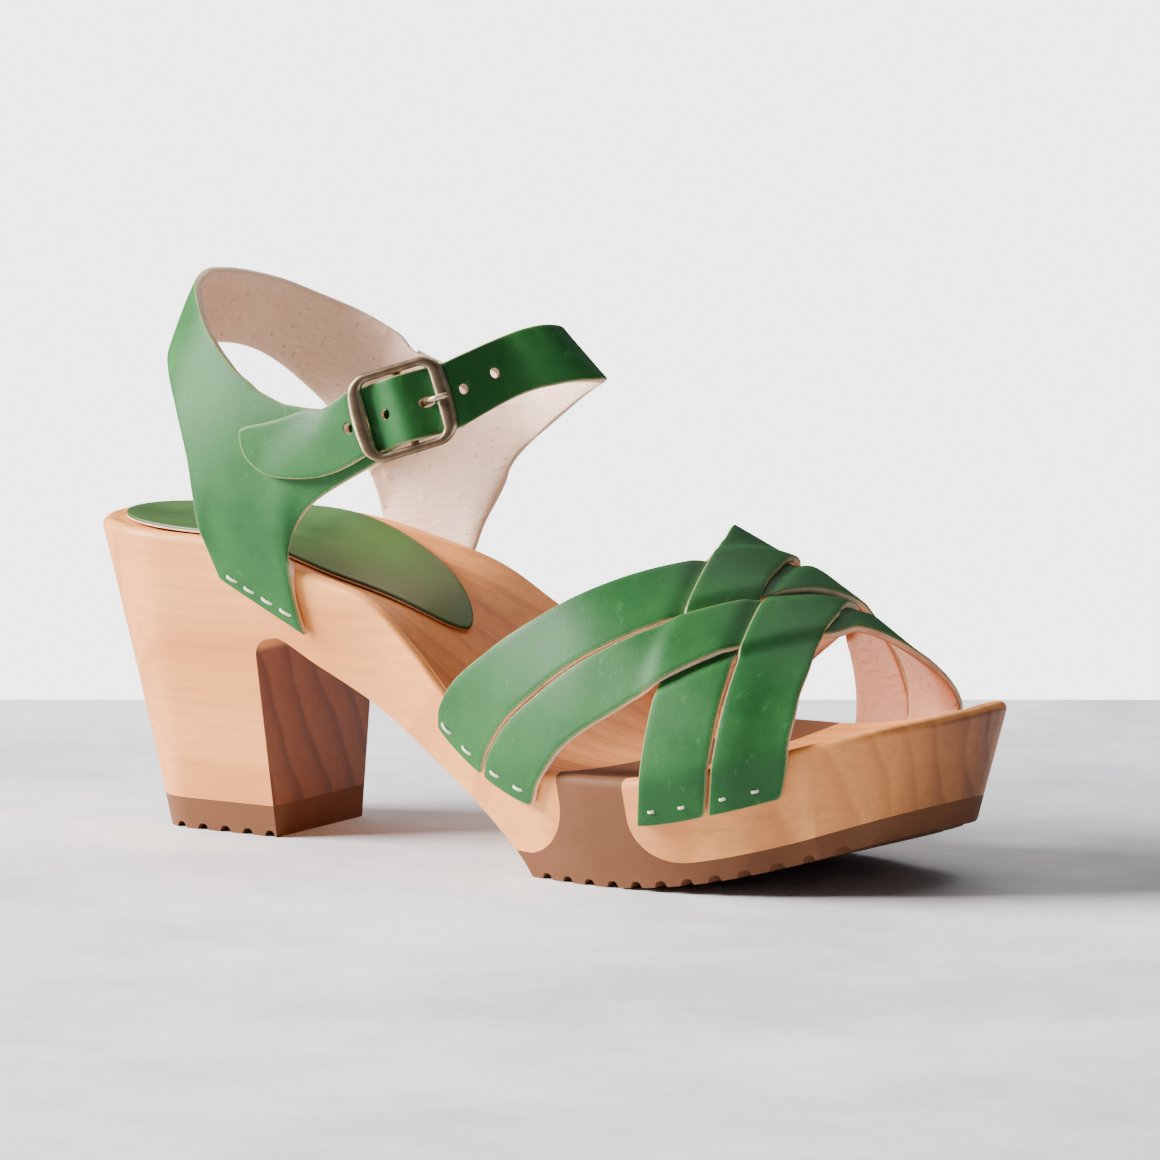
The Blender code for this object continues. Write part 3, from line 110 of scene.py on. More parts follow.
def lay_floor():
    """A pale floor square to the view that ends a short way behind the shoe, where the far wall begins."""
    view_way = (CAMERA_TARGET - CAMERA_PLACE).normalized()
    back = Vector((view_way.x, view_way.y, 0)).normalized()
    side = Vector((back.y, -back.x, 0))
    vertices = []
    steps = FLOOR_STEPS
    for i in range(steps + 1):
        for k in range(steps + 1):
            forward = FLOOR_BEHIND - FLOOR_SIZE * i / steps
            point = back * forward + side * (FLOOR_SIZE * k / steps - FLOOR_SIZE / 2)
            vertices.append((point.x, point.y, 0.0))
    width = steps + 1
    faces = [(i * width + k, i * width + k + 1, (i + 1) * width + k + 1, (i + 1) * width + k)
             for i in range(steps) for k in range(steps)]
    mesh = bpy.data.meshes.new("studio_floor")
    mesh.from_pydata(vertices, [], faces)
    if mesh.polygons[0].normal.z < 0:
        mesh.flip_normals()
    floor = bpy.data.objects.new("studio_floor", mesh)
    bpy.context.scene.collection.objects.link(floor)
    return floor


floor = lay_floor()
floor_material, tree, links, shader = new_material("pale_floor", Roughness=0.5, Specular_IOR_Level=0.3)
cloudy = tree.nodes.new("ShaderNodeTexNoise")
cloudy.inputs["Scale"].default_value = 42.0
cloudy.inputs["Detail"].default_value = 9.0
cloudy.inputs["Roughness"].default_value = 0.68
worn_spots = tree.nodes.new("ShaderNodeValToRGB")
worn_spots.color_ramp.elements[0].position = 0.36
worn_spots.color_ramp.elements[0].color = (0.60, 0.61, 0.66, 1)
worn_spots.color_ramp.elements[1].position = 0.62
worn_spots.color_ramp.elements[1].color = (0.88, 0.88, 0.90, 1)
links.new(cloudy.outputs["Fac"], worn_spots.inputs["Fac"])
links.new(worn_spots.outputs["Color"], shader.inputs["Base Color"])
floor.data.materials.append(floor_material)
floor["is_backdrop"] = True
print("the floor ends", FLOOR_BEHIND, "m behind the shoe")


# %% Soft light
def soft_panel(name, place, target, size, watts, colour):
    """An area light that faces its target."""
    data = bpy.data.lights.new(name, "AREA")
    data.shape = "RECTANGLE"
    data.size, data.size_y = size
    data.energy = watts
    data.color = colour
    panel = bpy.data.objects.new(name, data)
    panel.location = place
    panel.rotation_euler = (Vector(target) - Vector(place)).to_track_quat("-Z", "Y").to_euler()
    bpy.context.scene.collection.objects.link(panel)
    return panel


PANELS = (
    # name, place, target, size, watts, colour
    ("window_left", (-1.62, -1.02, 1.10), (0, 0, 0.05), (1.2, 1.0), 240, (1.0, 0.985, 0.955)),
    ("ceiling", (-0.2, 0.9, 1.8), (0, 0, 0), (2.0, 1.6), 20, (1.0, 1.0, 1.0)),
    ("front_fill", (1.3, -1.9, 0.8), (0, 0, 0.05), (1.2, 1.0), 1, (0.97, 0.98, 1.0)),
)
for panel in PANELS:
    soft_panel(*panel)
    print(panel[0], "of", panel[4], "W")

# %% Pale wall: bright where the camera looks past the floor, dimmer as a source of light
world = bpy.data.worlds.new("pale_world")
world.use_nodes = True
wall_nodes = world.node_tree.nodes
wall_seen = wall_nodes["Background"]
wall_seen.inputs["Color"].default_value = (0.97, 0.97, 0.975, 1)
wall_seen.inputs["Strength"].default_value = 4.2
wall_light = wall_nodes.new("ShaderNodeBackground")
wall_light.inputs["Color"].default_value = (0.93, 0.94, 0.97, 1)
wall_light.inputs["Strength"].default_value = 0.10
choose = wall_nodes.new("ShaderNodeMixShader")
looked_at = wall_nodes.new("ShaderNodeLightPath")
world.node_tree.links.new(looked_at.outputs["Is Camera Ray"], choose.inputs["Fac"])
world.node_tree.links.new(wall_light.outputs[0], choose.inputs[1])
world.node_tree.links.new(wall_seen.outputs[0], choose.inputs[2])
world.node_tree.links.new(choose.outputs[0], wall_nodes["World Output"].inputs["Surface"])
bpy.context.scene.world = world

# %% [markdown]
# ## Node groups that several finishes share
# Real surfaces change a little everywhere. Each effect is one group with named inputs: wood figure,
# leather grain, a mottle for colour, and wear near a cut edge. The nodes could be copied into each
# material, but one group keeps them alike and is mended in one place. A group gives only colours, masks
# and heights, and each material mixes them with values of its own.


# %% Helpers to write node groups shortly
def new_group(name, inputs, outputs):
    """A shader node group; inputs are (name, kind, default) and outputs (name, kind)."""
    group = bpy.data.node_groups.new(name, "ShaderNodeTree")
    for label, kind, default in inputs:
        socket = group.interface.new_socket(label, in_out="INPUT", socket_type="NodeSocket" + kind)
        if default is not None:
            socket.default_value = default
    for label, kind in outputs:
        group.interface.new_socket(label, in_out="OUTPUT", socket_type="NodeSocket" + kind)
    start = group.nodes.new("NodeGroupInput")
    end = group.nodes.new("NodeGroupOutput")
    return group, start, end


def node(tree, kind, settings=None, **inputs):
    """A node with its settings, and inputs that are values or the outputs of other nodes."""
    made = tree.nodes.new("ShaderNode" + kind)
    for label, value in (settings or {}).items():
        setattr(made, label, value)
    for label, value in inputs.items():
        key = int(label[1:]) if label[0] == "i" and label[1:].isdigit() else label.replace("_", " ")
        if isinstance(value, bpy.types.NodeSocket):
            tree.links.new(value, made.inputs[key])
        else:
            made.inputs[key].default_value = value
    return made


def math_node(tree, operation, *values):
    settings = {"operation": operation}
    return node(tree, "Math", settings, **{"i%d" % i: v for i, v in enumerate(values)}).outputs[0]


def ramp(tree, value, *stops):
    """A colour ramp; each stop is a place and a grey value or a colour."""
    made = node(tree, "ValToRGB", None, Fac=value)
    elements = made.color_ramp.elements
    while len(elements) < len(stops):
        elements.new(0.5)
    for element, (place, colour) in zip(elements, stops):
        element.position = place
        element.color = colour if hasattr(colour, "__len__") else (colour, colour, colour, 1)
    return made.outputs["Color"]


def mix_colour(tree, share, first, second, blend="MIX"):
    made = tree.nodes.new("ShaderNodeMix")
    made.data_type = "RGBA"
    made.blend_type = blend
    for label, value in (("Factor", share), ("A", first), ("B", second)):
        socket = [s for s in made.inputs if s.name == label and s.enabled][0]
        if isinstance(value, bpy.types.NodeSocket):
            tree.links.new(value, socket)
        else:
            socket.default_value = value
    return [s for s in made.outputs if s.enabled][0]


print("helpers for node groups:", [f.__name__ for f in (new_group, node, math_node, ramp, mix_colour)])

# %% Wood figure: growth layers, fibres and pores in a solid block
wood_group, start, end = new_group(
    "wood_figure",
    [("Ring Scale", "Float", 60.0), ("Wander", "Float", 0.03), ("Fibre Scale", "Float", 420.0)],
    [("Layers", "Float"), ("Fibres", "Float"), ("Pores", "Float"), ("Cloud", "Float")])
place = node(wood_group, "TexCoord").outputs["Object"]
tilted = node(wood_group, "Mapping", None, Vector=place, Rotation=(0.16, 0.05, 0.03),
              Location=(0.0, 0.36, 0.13), Scale=(0.16, 1.0, 1.0))
drift = node(wood_group, "TexNoise", None, Vector=tilted.outputs[0], Scale=9.0, Detail=3.0)
shifted = node(wood_group, "VectorMath", {"operation": "SCALE"}, i0=drift.outputs["Color"])
wood_group.links.new(start.outputs["Wander"], shifted.inputs["Scale"])
bent = node(wood_group, "VectorMath", {"operation": "ADD"}, i0=tilted.outputs[0], i1=shifted.outputs[0])
parts_of = node(wood_group, "SeparateXYZ", None, Vector=bent.outputs[0])
flat = node(wood_group, "CombineXYZ", None, Y=parts_of.outputs["Y"], Z=parts_of.outputs["Z"])
radius = node(wood_group, "VectorMath", {"operation": "LENGTH"}, i0=flat.outputs[0]).outputs["Value"]
rings = math_node(wood_group, "MULTIPLY", radius, start.outputs["Ring Scale"])
layers = math_node(wood_group, "FRACT", rings)
wood_group.links.new(ramp(wood_group, layers, (0.0, 0.05), (0.55, 0.35), (0.86, 1.0), (1.0, 0.05)),
                     end.inputs["Layers"])
stretched = node(wood_group, "Mapping", None, Vector=place, Scale=(0.035, 1.0, 1.0),
                 Rotation=(0.0, 0.03, 0.02))
fibres = node(wood_group, "TexNoise", None, Vector=stretched.outputs[0], Detail=4.0, Roughness=0.6)
wood_group.links.new(start.outputs["Fibre Scale"], fibres.inputs["Scale"])
wood_group.links.new(fibres.outputs["Fac"], end.inputs["Fibres"])
pore_place = node(wood_group, "Mapping", None, Vector=place, Scale=(0.06, 1.0, 1.0))
pores = node(wood_group, "TexVoronoi", None, Vector=pore_place.outputs[0], Scale=900.0)
wood_group.links.new(ramp(wood_group, pores.outputs["Distance"], (0.10, 1.0), (0.28, 0.0)),
                     end.inputs["Pores"])
cloud = node(wood_group, "TexNoise", None, Vector=tilted.outputs[0], Scale=26.0, Detail=2.0)
wood_group.links.new(cloud.outputs["Fac"], end.inputs["Cloud"])
print("wood figure nodes:", len(wood_group.nodes))

# %% Leather grain: fine pebbles, hair-thin wrinkles and a slow mottle
leather_group, start, end = new_group(
    "leather_grain",
    [("Pebble Scale", "Float", 1500.0), ("Wrinkle Scale", "Float", 160.0)],
    [("Height", "Float"), ("Mottle", "Float"), ("Scuffs", "Float")])
place = node(leather_group, "TexCoord").outputs["Object"]
pebbles = node(leather_group, "TexVoronoi", {"feature": "SMOOTH_F1"}, Vector=place)
leather_group.links.new(start.outputs["Pebble Scale"], pebbles.inputs["Scale"])
wrinkles = node(leather_group, "TexNoise", {"noise_type": "RIDGED_MULTIFRACTAL"}, Vector=place, Detail=5.0)
leather_group.links.new(start.outputs["Wrinkle Scale"], wrinkles.inputs["Scale"])
fine = math_node(leather_group, "MULTIPLY", pebbles.outputs["Distance"], 0.6)
slow = math_node(leather_group, "MULTIPLY", wrinkles.outputs["Fac"], 0.35)
leather_group.links.new(math_node(leather_group, "SUBTRACT", fine, slow), end.inputs["Height"])
mottle = node(leather_group, "TexNoise", None, Vector=place, Scale=55.0, Detail=6.0, Roughness=0.62)
leather_group.links.new(mottle.outputs["Fac"], end.inputs["Mottle"])
drawn = node(leather_group, "Mapping", None, Vector=place, Scale=(1.0, 0.25, 0.6), Rotation=(0.4, 0.2, 0.7))
scuffs = node(leather_group, "TexNoise", None, Vector=drawn.outputs[0], Scale=380.0, Detail=5.0,
              Roughness=0.7)
leather_group.links.new(ramp(leather_group, scuffs.outputs["Fac"], (0.60, 0.0), (0.74, 1.0)),
                        end.inputs["Scuffs"])
print("leather grain nodes:", len(leather_group.nodes))

# %% Edge wear: a soft mask that fades away from a cut edge
edge_group, start, end = new_group(
    "edge_wear", [("Reach", "Float", 0.0012), ("Breakup Scale", "Float", 700.0)], [("Mask", "Float")])
away = node(edge_group, "Attribute", {"attribute_name": "from_edge"}).outputs["Fac"]
place = node(edge_group, "TexCoord").outputs["Object"]
breakup = node(edge_group, "TexNoise", None, Vector=place, Detail=3.0)
edge_group.links.new(start.outputs["Breakup Scale"], breakup.inputs["Scale"])
uneven = math_node(edge_group, "MULTIPLY_ADD", breakup.outputs["Fac"], 1.2, 0.4)
reach = math_node(edge_group, "MULTIPLY", uneven, start.outputs["Reach"])
share = math_node(edge_group, "DIVIDE", away, reach)
edge_group.links.new(ramp(edge_group, share, (0.35, 1.0), (1.0, 0.0)), end.inputs["Mask"])
print("groups:", [g.name for g in bpy.data.node_groups])

# %% [markdown]
# ## The finishes
# Each finish is a Principled material with its own values, fed by the groups above. Colours are written
# as screen values and turned into light values by one helper, because that is how they are picked.


# %% Screen colours
def colour(red, green, blue):
    """A colour given as screen values from 0 to 255, as light values with alpha."""
    def light(value):
        value /= 255
        return value / 12.92 if value <= 0.04045 else ((value + 0.055) / 1.055) ** 2.4
    return (light(red), light(green), light(blue), 1.0)


def place_group(tree, group, **inputs):
    made = tree.nodes.new("ShaderNodeGroup")
    made.node_tree = group
    for label, value in inputs.items():
        made.inputs[label.replace("_", " ")].default_value = value
    return made


def add_bump(tree, height, strength, distance):
    made = node(tree, "Bump", None, Height=height, Strength=strength, Distance=distance)
    tree.links.new(made.outputs["Normal"], tree.nodes["Principled BSDF"].inputs["Normal"])
    return made


def count_nodes(material):
    print(material.name, "has", len(material.node_tree.nodes), "nodes")


print("leaf green as light:", [round(value, 3) for value in colour(43, 98, 46)])


# %% [markdown]
# ### Pale wood
# The blocks are milled from a pale, close-grained wood and finished with oil only. Faint layers run along
# the sides and turn into fine upright streaks at the toe, where the fibres end. The figure is one solid
# texture through the whole block, so all the cut faces agree with each other, where a picture of wood
# wrapped round it would show a seam at each edge. Faces cut across the grain, such as the heel's breast,
# are painted much darker and redder by a mask of the face's direction. This is partly end grain that
# drinks more oil, and partly painted shade, since these faces lie in shadow.

# %% Honey wood
wood_material, tree, links, shader = new_material("oiled_wood", Roughness=0.52, Specular_IOR_Level=0.4)
figure = place_group(tree, wood_group, Ring_Scale=105.0, Wander=0.045, Fibre_Scale=520.0)
base = mix_colour(tree, figure.outputs["Cloud"], colour(250, 174, 96), colour(236, 144, 68))
layered = mix_colour(tree, math_node(tree, "MULTIPLY", figure.outputs["Layers"], 0.55), base,
                     colour(198, 112, 50))
fibred = mix_colour(tree, ramp(tree, figure.outputs["Fibres"], (0.42, 0.0), (0.75, 0.5)), layered,
                    colour(186, 122, 72))
pored = mix_colour(tree, math_node(tree, "MULTIPLY", figure.outputs["Pores"], 0.10), fibred,
                   colour(132, 80, 44))
# Painted shade and end grain together: faces that look along the shoe turn darker and redder, and the
# squarest of them also get dark streaks along the layers.
facing = node(tree, "SeparateXYZ", None, Vector=node(tree, "TexCoord").outputs["Normal"]).outputs["X"]
end_grain_shade_mask = ramp(tree, math_node(tree, "ABSOLUTE", facing), (0.20, 0.0), (0.88, 0.30), (0.985, 0.94))
end_grain_shaded = mix_colour(tree, end_grain_shade_mask, pored, colour(124, 72, 46))
deep_end_shade = math_node(tree, "POWER", end_grain_shade_mask, 4.0)
end_streaks_shaded = mix_colour(tree, math_node(tree, "MULTIPLY", deep_end_shade, figure.outputs["Layers"]), end_grain_shaded,
                      colour(96, 52, 34))
links.new(end_streaks_shaded, shader.inputs["Base Color"])
links.new(ramp(tree, figure.outputs["Fibres"], (0.3, 0.46), (0.8, 0.60)), shader.inputs["Roughness"])
add_bump(tree, figure.outputs["Fibres"], 0.12, 0.0004)
count_nodes(wood_material)

# %% [markdown]
# ### Brown rubber
# The sole and the heel's lift are moulded from one matt brown rubber. It scatters light from tiny pits.
# Pits could be modelled, but they are smaller than a pixel, so one slow noise for the patches and one
# fast noise for specks and bump are enough.

# %% Rubber
rubber_material, tree, links, shader = new_material(
    "moulded_rubber", Roughness=0.72, Specular_IOR_Level=0.35)
place = node(tree, "TexCoord").outputs["Object"]
patches = node(tree, "TexNoise", None, Vector=place, Scale=70.0, Detail=5.0, Roughness=0.6)
specks = node(tree, "TexNoise", None, Vector=place, Scale=1500.0, Detail=2.0)
base = mix_colour(tree, patches.outputs["Fac"], colour(116, 70, 38), colour(94, 55, 29))
speckled = mix_colour(tree, ramp(tree, specks.outputs["Fac"], (0.58, 0.0), (0.72, 0.35)), base,
                      colour(98, 62, 36))
links.new(speckled, shader.inputs["Base Color"])
links.new(ramp(tree, patches.outputs["Fac"], (0.3, 0.66), (0.7, 0.80)), shader.inputs["Roughness"])
add_bump(tree, specks.outputs["Fac"], 0.18, 0.0003)
count_nodes(rubber_material)

# %% [markdown]
# ### Green leather, its flesh side and its cut edges
# The leather is dyed on the grain side only. The flesh side is rough and pinkish tan, and the raw edge
# shows the same tan fibres in a line all round each part. One material could blend all three by masks,
# but a hide has three kinds of face with sharp borders, so three materials follow them. The wear group
# lets a little tan creep over the green next to an edge.

# %% Green grain side
grain_material, tree, links, shader = new_material(
    "green_grain", Roughness=0.55, Specular_IOR_Level=0.2)
grain = place_group(tree, leather_group, Pebble_Scale=1700.0, Wrinkle_Scale=120.0)
wear_and_highlight = place_group(tree, edge_group, Reach=0.00045, Breakup_Scale=900.0)
base = mix_colour(tree, ramp(tree, grain.outputs["Mottle"], (0.30, 0.0), (0.70, 1.0)),
                  colour(25, 77, 36), colour(43, 98, 46))
scuffed = mix_colour(tree, math_node(tree, "MULTIPLY", grain.outputs["Scuffs"], 0.26), base,
                     colour(98, 156, 90))
edged = mix_colour(tree, math_node(tree, "MULTIPLY", wear_and_highlight.outputs["Mask"], 0.55), scuffed,
                   colour(160, 158, 104))
links.new(edged, shader.inputs["Base Color"])
links.new(ramp(tree, grain.outputs["Mottle"], (0.3, 0.44), (0.7, 0.58)), shader.inputs["Roughness"])
add_bump(tree, grain.outputs["Height"], 0.14, 0.00025)
count_nodes(grain_material)

# %% Sock leather: the same dye, a little darker and smoother underfoot
sock_material, tree, links, shader = new_material("green_sock", Roughness=0.46, Specular_IOR_Level=0.45)
grain = place_group(tree, leather_group, Pebble_Scale=1500.0, Wrinkle_Scale=90.0)
wear_and_highlight = place_group(tree, edge_group, Reach=0.0006, Breakup_Scale=900.0)
base = mix_colour(tree, ramp(tree, grain.outputs["Mottle"], (0.30, 0.0), (0.70, 1.0)),
                  colour(46, 78, 30), colour(66, 104, 46))
# The sock turns a darker green next to its cut edge.
edged = mix_colour(tree, math_node(tree, "MULTIPLY", wear_and_highlight.outputs["Mask"], 0.5), base, colour(40, 52, 26))
links.new(edged, shader.inputs["Base Color"])
links.new(ramp(tree, grain.outputs["Mottle"], (0.3, 0.40), (0.7, 0.55)), shader.inputs["Roughness"])
add_bump(tree, grain.outputs["Height"], 0.12, 0.00025)
count_nodes(sock_material)

# %% Flesh side: loose nap with long drawn fibres; a darker copy for the toe straps is partly stain and partly painted shade
def nap_material(name, light, dark, drawn_colour):
    material, tree, links, shader = new_material(
        name, Roughness=0.92, Specular_IOR_Level=0.15, Sheen_Weight=0.2, Sheen_Roughness=0.6)
    nap = place_group(tree, leather_group, Pebble_Scale=900.0, Wrinkle_Scale=240.0)
    place = node(tree, "TexCoord").outputs["Object"]
    drawn = node(tree, "Mapping", None, Vector=place, Scale=(0.45, 1.0, 1.0), Rotation=(0.1, 0.5, 0.3))
    fibres = node(tree, "TexNoise", {"noise_type": "RIDGED_MULTIFRACTAL"}, Vector=drawn.outputs[0],
                  Scale=520.0, Detail=4.0, Roughness=0.65)
    pits = node(tree, "TexNoise", None, Vector=place, Scale=620.0, Detail=2.0)
    base = mix_colour(tree, ramp(tree, nap.outputs["Mottle"], (0.30, 0.0), (0.70, 1.0)), dark, light)
    pulled = mix_colour(tree, ramp(tree, fibres.outputs["Fac"], (0.30, 0.0), (0.90, 0.6)), base,
                        drawn_colour)
    pitted = mix_colour(tree, ramp(tree, pits.outputs["Fac"], (0.66, 0.0), (0.76, 0.8)), pulled,
                        drawn_colour)
    links.new(pitted, shader.inputs["Base Color"])
    add_bump(tree, fibres.outputs["Fac"], 0.6, 0.0006)
    count_nodes(material)
    return material


flesh_material = nap_material(
    "tan_flesh", colour(248, 216, 192), colour(238, 198, 170), colour(190, 138, 112))
# The toe straps' flesh side gets a darker, redder copy: partly stain, partly painted shade for the shadow
# inside the straps.
stained_and_shaded_flesh_material = nap_material(
    "stained_and_shaded_flesh", colour(196, 140, 110), colour(174, 118, 90), colour(134, 86, 64))

# %% Cut edge: tan fibres
edge_material, tree, links, shader = new_material("tan_cut_edge", Roughness=0.8, Specular_IOR_Level=0.25)
place = node(tree, "TexCoord").outputs["Object"]
fibres = node(tree, "TexNoise", None, Vector=place, Scale=1300.0, Detail=4.0, Roughness=0.7)
patches = node(tree, "TexNoise", None, Vector=place, Scale=160.0, Detail=3.0)
base = mix_colour(tree, fibres.outputs["Fac"], colour(204, 168, 140), colour(242, 220, 194))
darker = mix_colour(tree, ramp(tree, patches.outputs["Fac"], (0.48, 0.0), (0.72, 0.4)), base,
                    colour(150, 116, 90))
links.new(darker, shader.inputs["Base Color"])
add_bump(tree, fibres.outputs["Fac"], 0.3, 0.0003)
count_nodes(edge_material)

# %% [markdown]
# ### Thread and brass
# The thread is waxed and two-ply, so its twist shows as fine slanting ribs. Two plies could be wound as
# meshes, but at this size a slanted wave in colour and bump looks the same, its darker bands painted shade
# between the plies. The buckle is brass with an old brown finish, and a mask on its points paints it
# bright along the edges of its raised top faces: partly brass worn bare, partly painted highlight.


# %% Thread
def thread_material(name, light, dark):
    material, tree, links, shader = new_material(name, Roughness=0.7, Specular_IOR_Level=0.3)
    place = node(tree, "TexCoord").outputs["Object"]
    slant = node(tree, "Mapping", None, Vector=place, Rotation=(0.5, 0.7, 0.4))
    twist_and_ply_shade = node(tree, "TexWave", {"bands_direction": "X"}, Vector=slant.outputs[0], Scale=900.0,
                 Distortion=1.5)
    # The wave's darker bands are painted shade between the two plies; the bump gives them their ribs.
    links.new(mix_colour(tree, twist_and_ply_shade.outputs["Fac"], dark, light), shader.inputs["Base Color"])
    add_bump(tree, twist_and_ply_shade.outputs["Fac"], 0.4, 0.0002)
    count_nodes(material)
    return material


cream_thread = thread_material("cream_thread", colour(240, 236, 212), colour(206, 200, 168))
green_thread = thread_material("green_thread", colour(34, 96, 62), colour(16, 60, 38))

# %% Antique brass
brass_material, tree, links, shader = new_material(
    "antique_brass", Metallic=1.0, Roughness=0.34, Specular_IOR_Level=0.5)
place = node(tree, "TexCoord").outputs["Object"]
patina = node(tree, "TexNoise", None, Vector=place, Scale=330.0, Detail=5.0, Roughness=0.6)
# The attribute's bright brass is partly worn bare and partly painted highlight along the top edges.
rub_and_highlight = node(tree, "Attribute", {"attribute_name": "rubbed_and_lit"}).outputs["Fac"]
bright = math_node(tree, "MULTIPLY", ramp(tree, patina.outputs["Fac"], (0.30, 0.35), (0.62, 1.0)), rub_and_highlight)
links.new(mix_colour(tree, bright, colour(62, 44, 34), colour(226, 206, 168)), shader.inputs["Base Color"])
links.new(ramp(tree, bright, (0.0, 0.46), (1.0, 0.26)), shader.inputs["Roughness"])
add_bump(tree, patina.outputs["Fac"], 0.06, 0.0002)
print("finishes:", sorted(m.name for m in bpy.data.materials if m.use_nodes))

# %% [markdown]
# ## Curves of the last
# A shoe is built on a last, and its shape is a few smooth curves along the foot: the half widths, the
# height of the two rims, the dish of the footbed and the slope of the walls. A last could be sculpted by
# hand, but a few rows are easy to read and change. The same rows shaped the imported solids, so the finer
# pieces here fall in the same places.


# %% A smooth curve through a few values
def smooth_curve(stops, values, at):
    """Smooth curve through the values that never overshoots; at may be a number or an array."""
    stops = np.asarray(stops, float)
    values = np.asarray(values, float)
    flat = values.reshape(len(stops), -1)
    at = np.clip(np.asarray(at, float), stops[0], stops[-1])
    i = np.clip(np.searchsorted(stops, at) - 1, 0, len(stops) - 2)
    steps = np.diff(stops)[:, None]
    slopes = np.diff(flat, axis=0) / steps
    between = (slopes[:-1] * steps[1:] + slopes[1:] * steps[:-1]) / (steps[:-1] + steps[1:])
    tangents = np.concatenate((slopes[:1], np.where(slopes[:-1] * slopes[1:] > 0, between, 0), slopes[-1:]))
    step = steps[i]
    t = (at - stops[i])[..., None] / step
    out = ((1 + 2 * t) * (1 - t) ** 2 * flat[i] + t * (1 - t) ** 2 * step * tangents[i]
           + t * t * (3 - 2 * t) * flat[i + 1] + t * t * (t - 1) * step * tangents[i + 1])
    return out.reshape(at.shape + values.shape[1:])


print("halfway along a straight curve:", float(smooth_curve((0, 1), (0, 1), 0.5)))

# %% Sizes of the sole
LENGTH = 0.243
BALL_WIDTH = 0.0924
SEAT_WIDTH = 0.0624
SEAT_HEIGHT = 0.0769
COLLAR_RISE = 0.062
INSTEP_RISE = 0.0515
RIM_ROUND = 0.0025
FOOTBED_DISH = 0.003
HEEL_DRAFT = 0.26
CLEARANCE = 0.0003
LAST_PLACE = np.array((-0.121512, -0.003794, 0.0))
MIRROR = {"lateral": -1, "medial": 1}

SECTIONS = np.array((
    # along, lateral, medial, lateral rim, medial rim, dish, lateral draft, medial draft
    (0.000, 0.338, 0.338, 1.000, 1.000, 1.0, 0.19, 0.13),
    (0.128, 0.338, 0.338, 0.992, 0.994, 1.1, 0.19, 0.13),
    (0.235, 0.336, 0.339, 0.969, 0.976, 1.3, 0.19, 0.13),
    (0.305, 0.334, 0.341, 0.904, 0.930, 1.6, 0.19, 0.14),
    (0.399, 0.341, 0.346, 0.800, 0.838, 2.0, 0.20, 0.16),
    (0.444, 0.352, 0.354, 0.678, 0.752, 2.0, 0.21, 0.18),
    (0.490, 0.368, 0.370, 0.538, 0.660, 1.8, 0.22, 0.20),
    (0.535, 0.395, 0.408, 0.449, 0.564, 1.5, 0.23, 0.23),
    (0.597, 0.433, 0.471, 0.377, 0.450, 1.1, 0.25, 0.27),
    (0.675, 0.463, 0.525, 0.360, 0.397, 0.8, 0.27, 0.32),
    (0.741, 0.461, 0.539, 0.371, 0.397, 0.7, 0.27, 0.33),
    (0.823, 0.417, 0.520, 0.429, 0.429, 0.7, 0.27, 0.32),
    (0.893, 0.336, 0.466, 0.494, 0.481, 0.7, 0.27, 0.29),
    (0.947, 0.336, 0.466, 0.540, 0.533, 0.7, 0.27, 0.27),
    (1.000, 0.336, 0.466, 0.572, 0.572, 0.7, 0.27, 0.27),
))
COLUMN = {"along": 0, "lateral": 1, "medial": 2, "lateral_rim": 3, "medial_rim": 4, "dish": 5,
          "lateral_draft": 6, "medial_draft": 7}


def section(name, x):
    """A column of the rows above at the length x, as a share of the size that it follows."""
    return smooth_curve(SECTIONS[:, 0], SECTIONS[:, COLUMN[name]], np.asarray(x) / LENGTH)


def half_width(side, x):
    return section(side, x) * BALL_WIDTH


def rim_height(x, across):
    """Height of the rim's level; across runs from -1 on the lateral side to 1 on the medial one."""
    lateral = section("lateral_rim", x)
    return SEAT_HEIGHT * (lateral + (section("medial_rim", x) - lateral) * (1 + across) / 2)


def footbed_height(x, across, inward):
    """Height of the dished footbed; inward is 1 at the rim and 0 on the middle line."""
    return rim_height(x, across) - section("dish", x) * FOOTBED_DISH * (1 - inward ** 2)


print("ball width:", round(float(half_width("lateral", 0.18) + half_width("medial", 0.18)) * 1000, 1), "mm")


# %% Helpers for pieces
def add_piece(name, vertices, faces, materials, slot, *stands_for):
    """A new piece from points in the last's frame; it rides with the shoe and hides what it stands for."""
    mesh = bpy.data.meshes.new(name)
    mesh.from_pydata([tuple(v) for v in vertices], [], [tuple(f) for f in faces])
    piece = bpy.data.objects.new(name, mesh)
    bpy.context.scene.collection.objects.link(piece)
    return finish_piece(piece, materials, slot, *stands_for)


def finish_piece(piece, materials, slot, *stands_for):
    """Moves a piece from the last's frame to the row's, and dresses it."""
    piece.data.transform(Matrix.Translation(Vector(LAST_PLACE)))
    if not piece.data.materials:
        for material in materials:
            piece.data.materials.append(material)
    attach(piece, "root")
    if stands_for:
        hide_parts(*stands_for)
    return piece


def turn_outward(mesh):
    work = bmesh.new()
    work.from_mesh(mesh)
    bmesh.ops.recalc_face_normals(work, faces=work.faces)
    work.to_mesh(mesh)
    work.free()


def smooth_shading(piece, degrees):
    piece.data.shade_smooth()
    piece.data.set_sharp_from_angle(angle=math.radians(degrees))


print("pieces move from the last's frame by", LAST_PLACE.tolist())

# %% [markdown]
# ## The sole
# The real sole is milled in one go after the rubber is moulded between the two blocks, so the wood and
# the rubber meet flush. Four pieces could be modelled apart, but their walls would never quite agree, so
# the same is done here: one block with drafted walls, a round rim and a dished footbed is built in
# rings, and prisms that run across the shoe cut it into four pieces.

